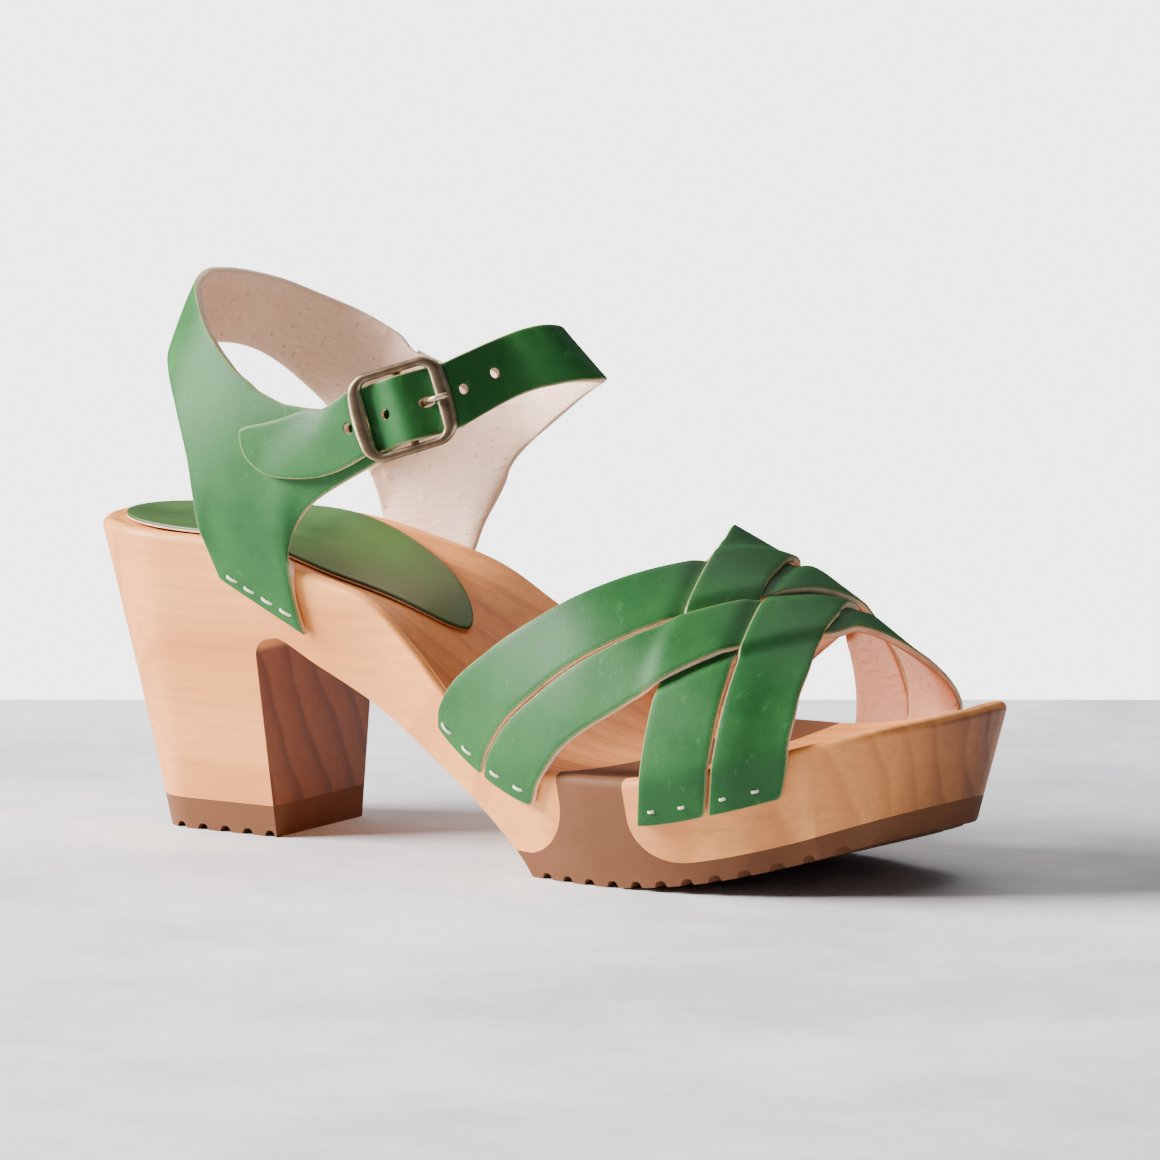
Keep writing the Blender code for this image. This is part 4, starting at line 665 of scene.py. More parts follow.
# %% Outline of the rim
TOE_OUTLINE = {
    # shares of LENGTH and of BALL_WIDTH, from the last straight sections to the tip
    "lateral": ((0.893, -0.336), (0.925, -0.290), (0.957, -0.215), (0.984, -0.070), (0.998, 0.090),
                (1.000, 0.175)),
    "medial": ((0.893, 0.466), (0.930, 0.440), (0.962, 0.390), (0.986, 0.310), (0.997, 0.240),
               (1.000, 0.175)),
}
SEAT_POINTS = 24
BODY_POINTS = 100
TOE_POINTS = 30


def outline_side(side):
    """Points of the rim's outline on one side, from the back of the seat to the tip of the toe."""
    seat_radius = float(half_width(side, 0))
    angles = np.linspace(0, math.pi / 2, SEAT_POINTS, endpoint=False)
    seat = np.stack((seat_radius * (1 - np.cos(angles)), MIRROR[side] * seat_radius * np.sin(angles)), 1)
    toe = np.array(TOE_OUTLINE[side]) * (LENGTH, BALL_WIDTH)
    xs = np.linspace(seat_radius, toe[0, 0], BODY_POINTS, endpoint=False)
    body = np.stack((xs, MIRROR[side] * half_width(side, xs)), 1)
    tip = smooth_curve(range(len(toe)), toe, np.linspace(0, len(toe) - 1, TOE_POINTS + 1))
    return np.concatenate((seat, body, tip))


print("rim points on a side:", len(outline_side("lateral")))

# %% The block in rings
def ring_faces(count, size, first=0, closed=False):
    """Faces from each ring of points to the next; closed also joins the last ring to the first."""
    faces = []
    for k in range(count if closed else count - 1):
        near = first + k * size
        far = first + (k + 1) % count * size
        for i in range(size):
            j = (i + 1) % size
            faces.append((near + i, near + j, far + j, far + i))
    return faces


def sole_block():
    """The whole sole before it is cut, as one closed mesh."""
    sides = {side: outline_side(side) for side in MIRROR}
    count = len(sides["lateral"])
    middle = (sides["lateral"] + sides["medial"]) / 2
    order = [(i, "lateral") for i in range(count)] + [(i, "medial") for i in range(count - 2, 0, -1)]
    edge = np.array([sides[side][i] for i, side in order])
    centre = np.array([middle[min(max(i, SEAT_POINTS), count - 1 - TOE_POINTS)] for i, _ in order])
    sign = np.array([MIRROR[side] for _, side in order])
    reach = np.hypot(*(edge - centre).T)
    draft = np.where(sign < 0, section("lateral_draft", edge[:, 0]), section("medial_draft", edge[:, 0]))
    seat = np.array([i < SEAT_POINTS for i, _ in order])
    turned = np.abs(edge[:, 0] - centre[:, 0]) / reach
    draft = draft + np.where(seat, (HEEL_DRAFT - draft) * turned ** 2, 0)
    top = rim_height(edge[:, 0], sign)
    rings = []
    for share in (1.0, 0.8, 0.6, 0.4, 0.2):
        depth = share * (top + 0.003)
        keep = 1 - draft * depth / reach
        rings.append(np.column_stack((centre + keep[:, None] * (edge - centre), top - depth)))
    for degrees in range(0, 90, 12):
        angle = math.radians(degrees)
        drop = RIM_ROUND * (1 - math.sin(angle))
        keep = 1 - (RIM_ROUND * (1 - math.cos(angle)) + draft * drop) / reach
        rings.append(np.column_stack((centre + keep[:, None] * (edge - centre), top - drop)))
    for inward in (1.0, 0.96, 0.9, 0.82, 0.72, 0.6, 0.48, 0.36, 0.24, 0.12, 0.05):
        keep = inward * (1 - RIM_ROUND / reach)
        place = centre + keep[:, None] * (edge - centre)
        rings.append(np.column_stack((place, footbed_height(place[:, 0], sign * keep, inward))))
    size = len(order)
    faces = ring_faces(len(rings), size)
    faces.append(tuple(reversed(range(size))))
    last = (len(rings) - 1) * size
    faces.append((last, last + 1, last + size - 1))
    for i in range(1, count - 2):
        faces.append((last + i, last + i + 1, last + size - i - 1, last + size - i))
    faces.append((last + count - 2, last + count - 1, last + count))
    mesh = bpy.data.meshes.new("sole_block")
    mesh.from_pydata(np.concatenate(rings).tolist(), [], faces)
    turn_outward(mesh)
    return mesh


block_mesh = sole_block()
print("block faces:", len(block_mesh.polygons))

# %% Profiles that cut the block
BREAST_FROM_BACK = 0.0573
BREAST_FILLET = 0.005
INSERT_REAR = 0.1545
INSERT_FRONT = 0.1738
INSERT_CORNER = 0.0150
INSERT_SKEW = 0.085
SKEW_PIVOT = 0.040
LIFT_THICKNESS = 0.008
SOLE_RUBBER = 0.0055
TREAD_PITCH = 0.0067
TREAD_DEPTH = 0.0016
FLAT_FRONT = 0.1580
TOE_SPRING_RADIUS = 0.175
TOE_SPRING_LENGTH = 0.059
# shares of LENGTH and of SEAT_HEIGHT, from the breast to the floor
ARCH = np.array(((0.236, 0.668), (0.262, 0.672), (0.310, 0.600), (0.380, 0.489), (0.448, 0.351),
                 (0.524, 0.190), (0.565, 0.076), (0.584, -0.010)))


def arch_path():
    """The underside from the fillet at the breast down to the floor."""
    places = ARCH * (LENGTH, SEAT_HEIGHT)
    path = smooth_curve(range(len(ARCH)), places, np.linspace(0, len(ARCH) - 1, 50))
    fillet = []
    for angle in np.linspace(0, math.pi / 2, 12):
        fillet.append((BREAST_FROM_BACK + BREAST_FILLET * (1 - math.cos(angle)),
                       places[0, 1] - BREAST_FILLET * (1 - math.sin(angle))))
    return fillet + [tuple(p) for p in path if p[0] > fillet[-1][0] + 0.001]


def sole_bottom(x):
    """Height of the worn face of the rubber: flat, an arc, then a straight toe spring."""
    past = max(x - FLAT_FRONT, 0)
    arc = min(past, TOE_SPRING_LENGTH)
    level = math.sqrt(TOE_SPRING_RADIUS ** 2 - arc ** 2)
    slope = TOE_SPRING_LENGTH / math.sqrt(TOE_SPRING_RADIUS ** 2 - TOE_SPRING_LENGTH ** 2)
    return TOE_SPRING_RADIUS - level + slope * max(past - TOE_SPRING_LENGTH, 0)


def toe_block_under():
    """Underside of the toe block from its rear corner to past the toe."""
    path = []
    for angle in np.linspace(0, math.pi / 2, 18):
        x = INSERT_FRONT + INSERT_CORNER * (1 - math.cos(angle))
        path.append((x, sole_bottom(x) + SOLE_RUBBER + 0.8 * INSERT_CORNER * (1 - math.sin(angle))))
    for x in np.linspace(INSERT_FRONT + INSERT_CORNER, LENGTH + 0.01, 30)[1:]:
        path.append((x, sole_bottom(x) + SOLE_RUBBER))
    return path


def rear_block_front():
    """Front edge of the rear block, from the rim down round its corner to the arch line."""
    foot = SOLE_RUBBER + 0.0005
    path = []
    for angle in np.linspace(0, math.radians(78), 16):
        path.append((INSERT_REAR - INSERT_CORNER * (1 - math.cos(angle)),
                     foot + INSERT_CORNER * (1 - math.sin(angle))))
    path.append((INSERT_REAR - 2 * INSERT_CORNER, foot))
    return path


def tread_path(start, end, base):
    """Worn face with a row of grooves across it."""
    path = [(start, base(start))]
    for i in range(int((end - start) / TREAD_PITCH)):
        for share, cut in ((0.50, 0), (0.58, 0.75), (0.66, 1), (0.84, 1), (0.92, 0.75), (1.0, 0)):
            x = start + (i + share) * TREAD_PITCH
            path.append((x, base(x) + cut * TREAD_DEPTH))
    path.append((end, base(end)))
    return path


print("toe spring at the tip:", round(sole_bottom(LENGTH) * 1000, 1), "mm")

# %% Cutting the four pieces
def moved_path(points, distance):
    """The open path moved to its left by the distance."""
    points = np.array(points)
    ways = points[np.minimum(np.arange(len(points)) + 1, len(points) - 1)]
    ways = ways - points[np.maximum(np.arange(len(points)) - 1, 0)]
    ways /= np.linalg.norm(ways, axis=1, keepdims=True)
    return [tuple(p) for p in points + distance * np.stack((-ways[:, 1], ways[:, 0]), 1)]


def crossing(path, other):
    """Where one path crosses the other: the next index on each, and the point."""
    for i in range(len(path) - 1):
        for j in range(len(other) - 1):
            p, q, r, s = (np.array(v) for v in (path[i], path[i + 1], other[j], other[j + 1]))
            m = np.array(((q - p), (r - s))).T
            if abs(np.linalg.det(m)) < 1e-12:
                continue
            a, b = np.linalg.solve(m, r - p)
            if 0 <= a <= 1 and 0 <= b <= 1:
                return i + 1, j + 1, tuple(p + a * (q - p))
    raise ValueError("the two paths do not meet")


def skew_at(x):
    """How far a line across the sole runs forward towards the medial side: the ball line is oblique."""
    return float(np.interp(x, (ARCH[3, 0] * LENGTH, INSERT_REAR - INSERT_CORNER), (0, INSERT_SKEW)))


def cut_from_block(name, outline, material, slot):
    """The part of the block inside a prism whose side view is the outline."""
    work = bmesh.new()
    ends = []
    for side in (-BALL_WIDTH, BALL_WIDTH):
        ends.append([work.verts.new((x + (side + SKEW_PIVOT) * skew_at(x), side, z)) for x, z in outline])
        work.faces.new(ends[-1])
    for i in range(len(outline)):
        j = (i + 1) % len(outline)
        work.faces.new((ends[0][i], ends[0][j], ends[1][j], ends[1][i]))
    bmesh.ops.triangulate(work, faces=work.faces)
    bmesh.ops.recalc_face_normals(work, faces=work.faces)
    prism_mesh = bpy.data.meshes.new(name + "_profile")
    work.to_mesh(prism_mesh)
    work.free()
    prism = bpy.data.objects.new(name + "_profile", prism_mesh)
    piece = bpy.data.objects.new(name + "_fine", block_mesh.copy())
    for thing in (prism, piece):
        bpy.context.scene.collection.objects.link(thing)
    cut = piece.modifiers.new("cut", "BOOLEAN")
    cut.operation = "INTERSECT"
    cut.solver = "EXACT"
    cut.object = prism
    settle(piece)
    bpy.data.objects.remove(prism)
    finish_piece(piece, [material], slot, name)
    smooth_shading(piece, 30)
    print(name, "faces:", len(piece.data.polygons))
    return piece


def settle(piece):
    """Puts the evaluated shape in place of the mesh and its modifiers."""
    depsgraph = bpy.context.evaluated_depsgraph_get()
    mesh = bpy.data.meshes.new_from_object(piece.evaluated_get(depsgraph))
    piece.modifiers.clear()
    piece.data = mesh


FLUSH_GAP = 0.00003


def build_sole():
    high = SEAT_HEIGHT * 1.5
    arch = arch_path()
    front = rear_block_front()
    arch_end, front_end, tip = crossing(arch, front)
    lift_top = LIFT_THICKNESS + FLUSH_GAP
    rear = [(-0.01, lift_top), (BREAST_FROM_BACK, lift_top)] + arch[:arch_end] + [tip]
    rear += list(reversed(front[:front_end])) + [(front[0][0], high), (-0.01, high)]
    under = toe_block_under()
    toe = [(under[0][0], high)] + under + [(under[-1][0], high)]
    seat_edge = moved_path(front, FLUSH_GAP)
    toe_edge = moved_path(under, -FLUSH_GAP)
    arch_j, seat_j, start = crossing(arch, seat_edge)
    above, below = next((p, q) for p, q in zip(arch, arch[1:]) if p[1] > 0 >= q[1])
    floor_x = above[0] + (below[0] - above[0]) * above[1] / (above[1] - below[1])
    sole = [start] + [p for p in arch[arch_j:] if p[1] > 0]
    sole += tread_path(floor_x, LENGTH + 0.01, sole_bottom) + list(reversed(toe_edge))
    sole += [(toe_edge[0][0], high), (seat_edge[0][0], high)] + seat_edge[:seat_j]
    lift = tread_path(-0.01, BREAST_FROM_BACK, lambda x: 0.0)
    lift += [(BREAST_FROM_BACK, LIFT_THICKNESS), (-0.01, LIFT_THICKNESS)]
    cut_from_block("rear_wood_block", rear, wood_material, "honey_wood")
    cut_from_block("toe_wood_block", toe, wood_material, "honey_wood")
    cut_from_block("forefoot_rubber_sole", sole, rubber_material, "brown_rubber")
    cut_from_block("rubber_heel_lift", lift, rubber_material, "brown_rubber")


build_sole()

# %% [markdown]
# ## Leather sheets
# Every leather part is cut from a flat hide about two millimetres thick and pulled into shape. So each
# one is made as a grid of points on its outer face. The inner face is found along the normals, the cut
# edge joins the two, and both faces roll over a little next to the cut, as a cut edge does in use. A
# Solidify modifier could give the thickness, but it leaves square edges and doesn't tell how far a
# point is from the cut, which the wear needs.

# %% From a grid of points to a sheet with round edges
STRAP_LEATHER = 0.0021
QUARTER_LEATHER = 0.0020
EDGE_ROLL = 0.00045
CLOSE_LINES = (0.0, 0.00006, 0.00018, 0.00045)
leather_faces = {}


def grid_faces(rows, columns):
    index = np.arange(rows * columns).reshape(rows, columns)
    return np.stack((index[:-1, :-1], index[:-1, 1:], index[1:, 1:], index[1:, :-1]), -1).reshape(-1, 4)


def leather_sheet(name, vertices, faces, thickness, axis, roll=EDGE_ROLL):
    """Outer face, flesh side and cut edge of one sheet; axis(points) gives points that lie behind it."""
    work = bmesh.new()
    corners = [work.verts.new(v) for v in vertices]
    for face in faces:
        work.faces.new([corners[i] for i in face])
    bmesh.ops.remove_doubles(work, verts=work.verts, dist=2e-6)
    bmesh.ops.recalc_face_normals(work, faces=work.faces)
    work.normal_update()
    centres = np.array([f.calc_center_median() for f in work.faces])
    turned = sum(f.normal.dot(Vector(c - a)) * f.calc_area()
                 for f, c, a in zip(work.faces, centres, axis(centres)))
    if turned < 0:
        bmesh.ops.reverse_faces(work, faces=work.faces)
        work.normal_update()
    work.verts.index_update()
    outer = np.array([v.co for v in work.verts])
    normals = np.array([v.normal for v in work.verts])
    rim = [e for e in work.edges if len(e.link_faces) == 1]
    marks = []
    for e in rim:
        a, b = np.array(e.verts[0].co), np.array(e.verts[1].co)
        count = max(2, int(np.linalg.norm(b - a) / 0.00015))
        marks += [a + (b - a) * k / count for k in range(count)]
    tree = KDTree(len(marks))
    for k, mark in enumerate(marks):
        tree.insert(mark, k)
    tree.balance()
    away = np.array([tree.find(v.co)[2] for v in work.verts])
    near = np.clip(roll - away, 0, roll)
    drop = roll - np.sqrt(np.maximum(roll ** 2 - near ** 2, 0))
    faces_out = [[v.index for v in f.verts] for f in work.faces]
    size = len(outer)
    edge_faces = []
    for e in rim:
        loop = [l for l in e.link_loops][0]
        a, b = loop.vert.index, loop.link_loop_next.vert.index
        edge_faces.append((b, a, size + a, size + b))
    work.free()
    points = np.concatenate((outer - normals * drop[:, None], outer - normals * (thickness - drop)[:, None]))
    all_faces = faces_out + [[size + i for i in reversed(f)] for f in faces_out] + edge_faces
    mesh = bpy.data.meshes.new(name)
    mesh.from_pydata(points.tolist(), [], all_faces)
    kinds = [0] * len(faces_out) + [1] * len(faces_out) + [2] * len(edge_faces)
    mesh.polygons.foreach_set("material_index", kinds)
    from_edge = mesh.attributes.new("from_edge", "FLOAT", "POINT")
    from_edge.data.foreach_set("value", np.concatenate((away, away)))
    mesh.shade_smooth()
    piece = bpy.data.objects.new(name, mesh)
    bpy.context.scene.collection.objects.link(piece)
    leather_faces[name] = BVHTree.FromPolygons(
        [Vector(p) for p in outer - normals * drop[:, None]], faces_out)
    return piece


def near_edges(inner_count, width):
    """Shares from 0 to 1 across a sheet, with a few close lines near both cut edges for the roll."""
    close = [line / width for line in CLOSE_LINES]
    inner = list(np.linspace(close[-1], 1 - close[-1], inner_count + 2)[1:-1])
    return np.array(close + inner + [1 - c for c in reversed(close)])


def grid_normals(grid, axis):
    normals = np.cross(np.gradient(grid, axis=0), np.gradient(grid, axis=1))
    normals /= np.linalg.norm(normals, axis=2, keepdims=True) + 1e-12
    flat = grid.reshape(-1, 3)
    if np.sum(normals.reshape(-1, 3) * (flat - axis(flat))) < 0:
        normals = -normals
    return normals


def unevenness(grid, size, height, seed):
    """A slow random wave for each grid point, so that no leather lies mathematically true."""
    random = np.random.default_rng(seed)
    wave = np.zeros(grid.shape[:-1])
    for _ in range(7):
        way = random.normal(size=3)
        way *= 2 * math.pi / size / np.linalg.norm(way) * random.uniform(0.6, 1.6)
        wave += np.sin(grid @ way + random.uniform(0, 6.28)) / 7
    return wave * height


print("leather rolls over its last", EDGE_ROLL * 1000, "mm")

# %% [markdown]
# ### Woven toe straps
# Two pairs of strips cross over the toes in a plain weave. Each pair is slit from one piece, so its two
# strips are joined on the medial side. A strip rises by half the leather where it goes over another and
# sinks by half where it goes under, with a short slope before the crossing. Simulated cloth could
# weave itself, but leather this stiff hardly sags, and a formula gives the same weave at each run.

# %% Where the strips run
FLAP_SPAN = 0.08
LATERAL_FULLNESS = 2.3
MEDIAL_TOE_FULLNESS = 1.5
SLIT_END = 0.93
STRIP_CORNER = 0.0010
WEAVE_SLOPE = 0.0045
WEAVE_SLACK = 0.00003
STRIP_WAVE_SIZE = 0.035
STRIP_WAVE_HEIGHT = 0.00022
# how far a pair of strips reaches down the wood, as shares of SEAT_HEIGHT
REACH = {
    "straps_from_lateral": {"lateral": 0.130, "medial": 0.145},
    "straps_from_toe": {"lateral": 0.150, "medial": 0.110},
}
STRIPS = {
    # around the foot from the lateral cut edge to the medial one, then rear and front as shares of LENGTH
    "lateral_rear": (
        (-0.08, 0.475, 0.534), (0.00, 0.488, 0.553), (0.09, 0.544, 0.617), (0.185, 0.609, 0.687),
        (0.28, 0.664, 0.740), (0.37, 0.702, 0.773), (0.44, 0.721, 0.789), (0.55, 0.736, 0.803),
        (0.70, 0.744, 0.813), (0.85, 0.750, 0.819), (1.00, 0.757, 0.824), (1.08, 0.754, 0.824),
    ),
    "lateral_front": (
        (-0.08, 0.538, 0.602), (0.00, 0.557, 0.626), (0.09, 0.622, 0.708), (0.185, 0.692, 0.769),
        (0.28, 0.745, 0.811), (0.37, 0.779, 0.837), (0.44, 0.796, 0.850), (0.55, 0.812, 0.863),
        (0.70, 0.822, 0.882), (0.85, 0.828, 0.892), (1.00, 0.824, 0.894), (1.08, 0.824, 0.891),
    ),
    "toe_rear": (
        (-0.08, 0.731, 0.802), (0.00, 0.740, 0.811), (0.09, 0.744, 0.813), (0.185, 0.745, 0.811),
        (0.28, 0.744, 0.803), (0.37, 0.734, 0.793), (0.44, 0.722, 0.781), (0.55, 0.690, 0.754),
        (0.70, 0.646, 0.722), (0.85, 0.586, 0.658), (1.00, 0.538, 0.592), (1.08, 0.534, 0.588),
    ),
    "toe_front": (
        (-0.08, 0.806, 0.872), (0.00, 0.815, 0.883), (0.09, 0.817, 0.883), (0.185, 0.815, 0.878),
        (0.28, 0.808, 0.871), (0.37, 0.797, 0.859), (0.44, 0.786, 0.850), (0.55, 0.770, 0.829),
        (0.70, 0.745, 0.800), (0.85, 0.683, 0.746), (1.00, 0.592, 0.662), (1.08, 0.588, 0.640),
    ),
}
WEAVE = {
    "lateral_rear": (("toe_rear", -1), ("toe_front", 1)),
    "lateral_front": (("toe_rear", 1), ("toe_front", -1)),
    "toe_rear": (("lateral_rear", 1), ("lateral_front", -1)),
    "toe_front": (("lateral_rear", -1), ("lateral_front", 1)),
}


def strip_edges(strip, around):
    rows = np.array(STRIPS[strip])
    edges = smooth_curve(rows[:, 0], rows[:, 1:], around) * LENGTH
    return edges[..., 0], edges[..., 1]


def weave_lift(strip, x, around):
    """How far a point of the strip is lifted: up where it lies over another strip, down where under."""
    lift = np.zeros(np.shape(x))
    for other, way in WEAVE[strip]:
        rear, front = strip_edges(other, around)
        inside = np.minimum(x - rear, front - x)
        share = np.clip(inside / WEAVE_SLOPE + 1, 0, 1)
        share = share * share * (3 - 2 * share)
        share = share * np.interp(around, (0.08, 0.16, 0.84, 0.92), (0, 1, 1, 0))
        lift += way * share * (STRAP_LEATHER / 2 + WEAVE_SLACK)
    return lift


def side_stretch(side, x):
    """How much longer a step across the foot is than the same step square to the wood's side."""
    step = 0.007
    slopes = [np.abs(half_width(side, x + k * step) - half_width(side, x)) / step for k in (-1, 1)]
    return np.sqrt(1 + np.maximum(*slopes) ** 2 + section(side + "_draft", x) ** 2)


def wood_side(side, x, depth, outward):
    """A point the depth below the rim and the distance outward, square to the wood's side wall."""
    y = half_width(side, x) - section(side + "_draft", x) * depth + outward * side_stretch(side, x)
    return np.stack(np.broadcast_arrays(x, MIRROR[side] * y, rim_height(x, MIRROR[side]) - depth), -1)


def vamp_points(x, around, reach, lift):
    """Points of the straps' outer face over the foot and down on the wood's two sides."""
    out = CLEARANCE + STRAP_LEATHER + lift
    lateral_flap = wood_side("lateral", x, np.maximum(-around, 0) / FLAP_SPAN * reach[0], out)
    medial_flap = wood_side("medial", x, np.maximum(around - 1, 0) / FLAP_SPAN * reach[1], out)
    lateral = half_width("lateral", x) + out * side_stretch("lateral", x)
    medial = half_width("medial", x) + out * side_stretch("medial", x)
    full = np.interp(x / LENGTH, (0.76, 0.88), (LATERAL_FULLNESS, MEDIAL_TOE_FULLNESS))
    power = 2 / np.where(around > 0.5, full, LATERAL_FULLNESS)
    angle = math.pi * (1 - np.clip(around, 0, 1))
    side_share = np.sign(np.cos(angle)) * np.abs(np.cos(angle)) ** power
    up_share = np.abs(np.sin(angle)) ** power
    crest = 0.365 * SEAT_HEIGHT + INSTEP_RISE - 0.5 * (x - 0.709 * LENGTH) + lift
    rim = rim_height(x, side_share)
    y = (medial - lateral) / 2 + (lateral + medial) / 2 * side_share + 0.05 * BALL_WIDTH * up_share
    arch = np.stack((x, y, rim + (crest - rim) * up_share), -1)
    over_or_medial = np.where((around > 1)[..., None], medial_flap, arch)
    return np.where((around < 0)[..., None], lateral_flap, over_or_medial)


def behind_vamp(points):
    return points * (1, 0, 0) + np.array((0, 0, 0.012))


for strip in STRIPS:
    rear, front = strip_edges(strip, 0.5)
    print(strip, "is", round(float(front - rear) * 1000, 1), "mm wide on top")


# %% Weaving the strips
def corner_cut(distance):
    """How much a round corner takes off a strip's side at a distance from its end."""
    inner = STRIP_CORNER ** 2 - (STRIP_CORNER - distance) ** 2
    return np.where(distance < STRIP_CORNER, STRIP_CORNER - np.sqrt(np.maximum(inner, 0)), 0)


def strip_grid(strip, partner, arounds, reach):
    """The strip's outer face; past the slit its facing edge meets its partner's."""
    shares = near_edges(11, 0.0165)
    around = np.repeat(arounds[:, None], len(shares), 1)
    rear, front = strip_edges(strip, around)
    other_rear, other_front = strip_edges(partner, around)
    joined = around > SLIT_END
    if strip.endswith("rear"):
        front = np.where(joined, (front + other_rear) / 2, front)
    else:
        rear = np.where(joined, (rear + other_front) / 2, rear)
    cut = corner_cut((around + FLAP_SPAN) / FLAP_SPAN * reach[0])
    cut_medial = corner_cut((1 + FLAP_SPAN - around) / FLAP_SPAN * reach[1])
    rear = rear + cut + (cut_medial if strip.endswith("rear") else 0)
    front = front - cut - (0 if strip.endswith("rear") else cut_medial)
    x = rear + (front - rear) * shares
    grid = vamp_points(x, around, reach, weave_lift(strip, x, around))
    along = np.arange(len(arounds))
    for _ in range(3):
        smoothed = grid.copy()
        smoothed[1:-1] = 0.25 * grid[:-2] + 0.5 * grid[1:-1] + 0.25 * grid[2:]
        keep = ((arounds > -0.035) & (arounds < 0.06)) | ((arounds > 0.94) & (arounds < 1.035))
        grid = np.where((keep & (along > 3))[:, None, None], smoothed, grid)
    normals = grid_normals(grid, behind_vamp)
    fade = np.interp(arounds, (-0.02, 0.1, 0.9, 1.02), (0, 1, 1, 0))[:, None]
    wave = unevenness(grid, STRIP_WAVE_SIZE, STRIP_WAVE_HEIGHT, len(strip))
    return grid + normals * (wave * fade)[..., None]


def build_toe_straps():
    close = np.array((0.0, 0.0006, 0.0018, 0.0045, 0.009, 0.016, 0.024))
    flap = np.concatenate((close, np.linspace(0.032, FLAP_SPAN, 6)))
    arch = np.linspace(0, 1, 150)[1:-1]
    arounds = np.concatenate((flap - FLAP_SPAN, arch, 1 + FLAP_SPAN - flap[::-1]))
    slit = np.searchsorted(arounds, SLIT_END)
    arounds[slit - 1] = SLIT_END - 0.0004
    pairs = (("straps_from_lateral", "lateral_rear", "lateral_front"),
             ("straps_from_toe", "toe_rear", "toe_front"))
    for name, rear_strip, front_strip in pairs:
        reach = tuple(REACH[name][side] * SEAT_HEIGHT for side in ("lateral", "medial"))
        grids = [strip_grid(rear_strip, front_strip, arounds, reach),
                 strip_grid(front_strip, rear_strip, arounds, reach)]
        count = grids[0].shape[0] * grids[0].shape[1]
        faces = grid_faces(*grids[0].shape[:2])
        vertices = np.concatenate([g.reshape(-1, 3) for g in grids])
        faces = np.concatenate((faces, faces + count))
        piece = leather_sheet(name, vertices, faces, STRAP_LEATHER, behind_vamp)
        finish_piece(piece, [grain_material, stained_and_shaded_flesh_material, edge_material], "green_leather",
                     "toe_straps")
        print(name, "points:", len(piece.data.vertices))


build_toe_straps()

# %% [markdown]
# ### Heel quarter
# One piece of leather starts under a lap on the medial side, runs round the back of the ankle, comes down
# as a tab on the wood and ends in a narrow tongue folded round the buckle's bar. It could be cut out of
# a tube with booleans, but then its grid would not follow the leather. So each column below runs from
# the lower cut edge to the upper one, and smooth curves join the columns.

# %% Columns of the quarter and of the strap
QUARTER_STEPS = 22
FOLD_WIDTH = 0.016
CENTRE_BAR_RADIUS = 0.001
FOLD_RADIUS = CENTRE_BAR_RADIUS + CLEARANCE + QUARTER_LEATHER
BAR_LEVEL = 0.0015
QUARTER_LEVEL = 0.0012
ANKLE_ALONG = 0.30
BUCKLE_LENGTH = 0.0262
BUCKLE_HEIGHT = 0.0222
BUCKLE_SIDE_BAR = 0.0042
BUCKLE_THICKNESS = 0.0022
STRAP_WIDTH = 0.0164
HOLE_DIAMETER = 0.0026
HOLE_SPACING = 0.0106
# the holes' places from the bar, in spacings; the prong sits in a longer one
HOLE_PLACES = (-1.42, -0.40, 0.60, 1.56, 2.56)
PRONG_HOLE = 2
PRONG_HOLE_LENGTH = 0.0038
ROWS_BETWEEN = 6
WAVE_SIZE = 0.030
WAVE_HEIGHT = 0.00030
FLAT_BELOW = 0.070
WAVED_ABOVE = 0.085
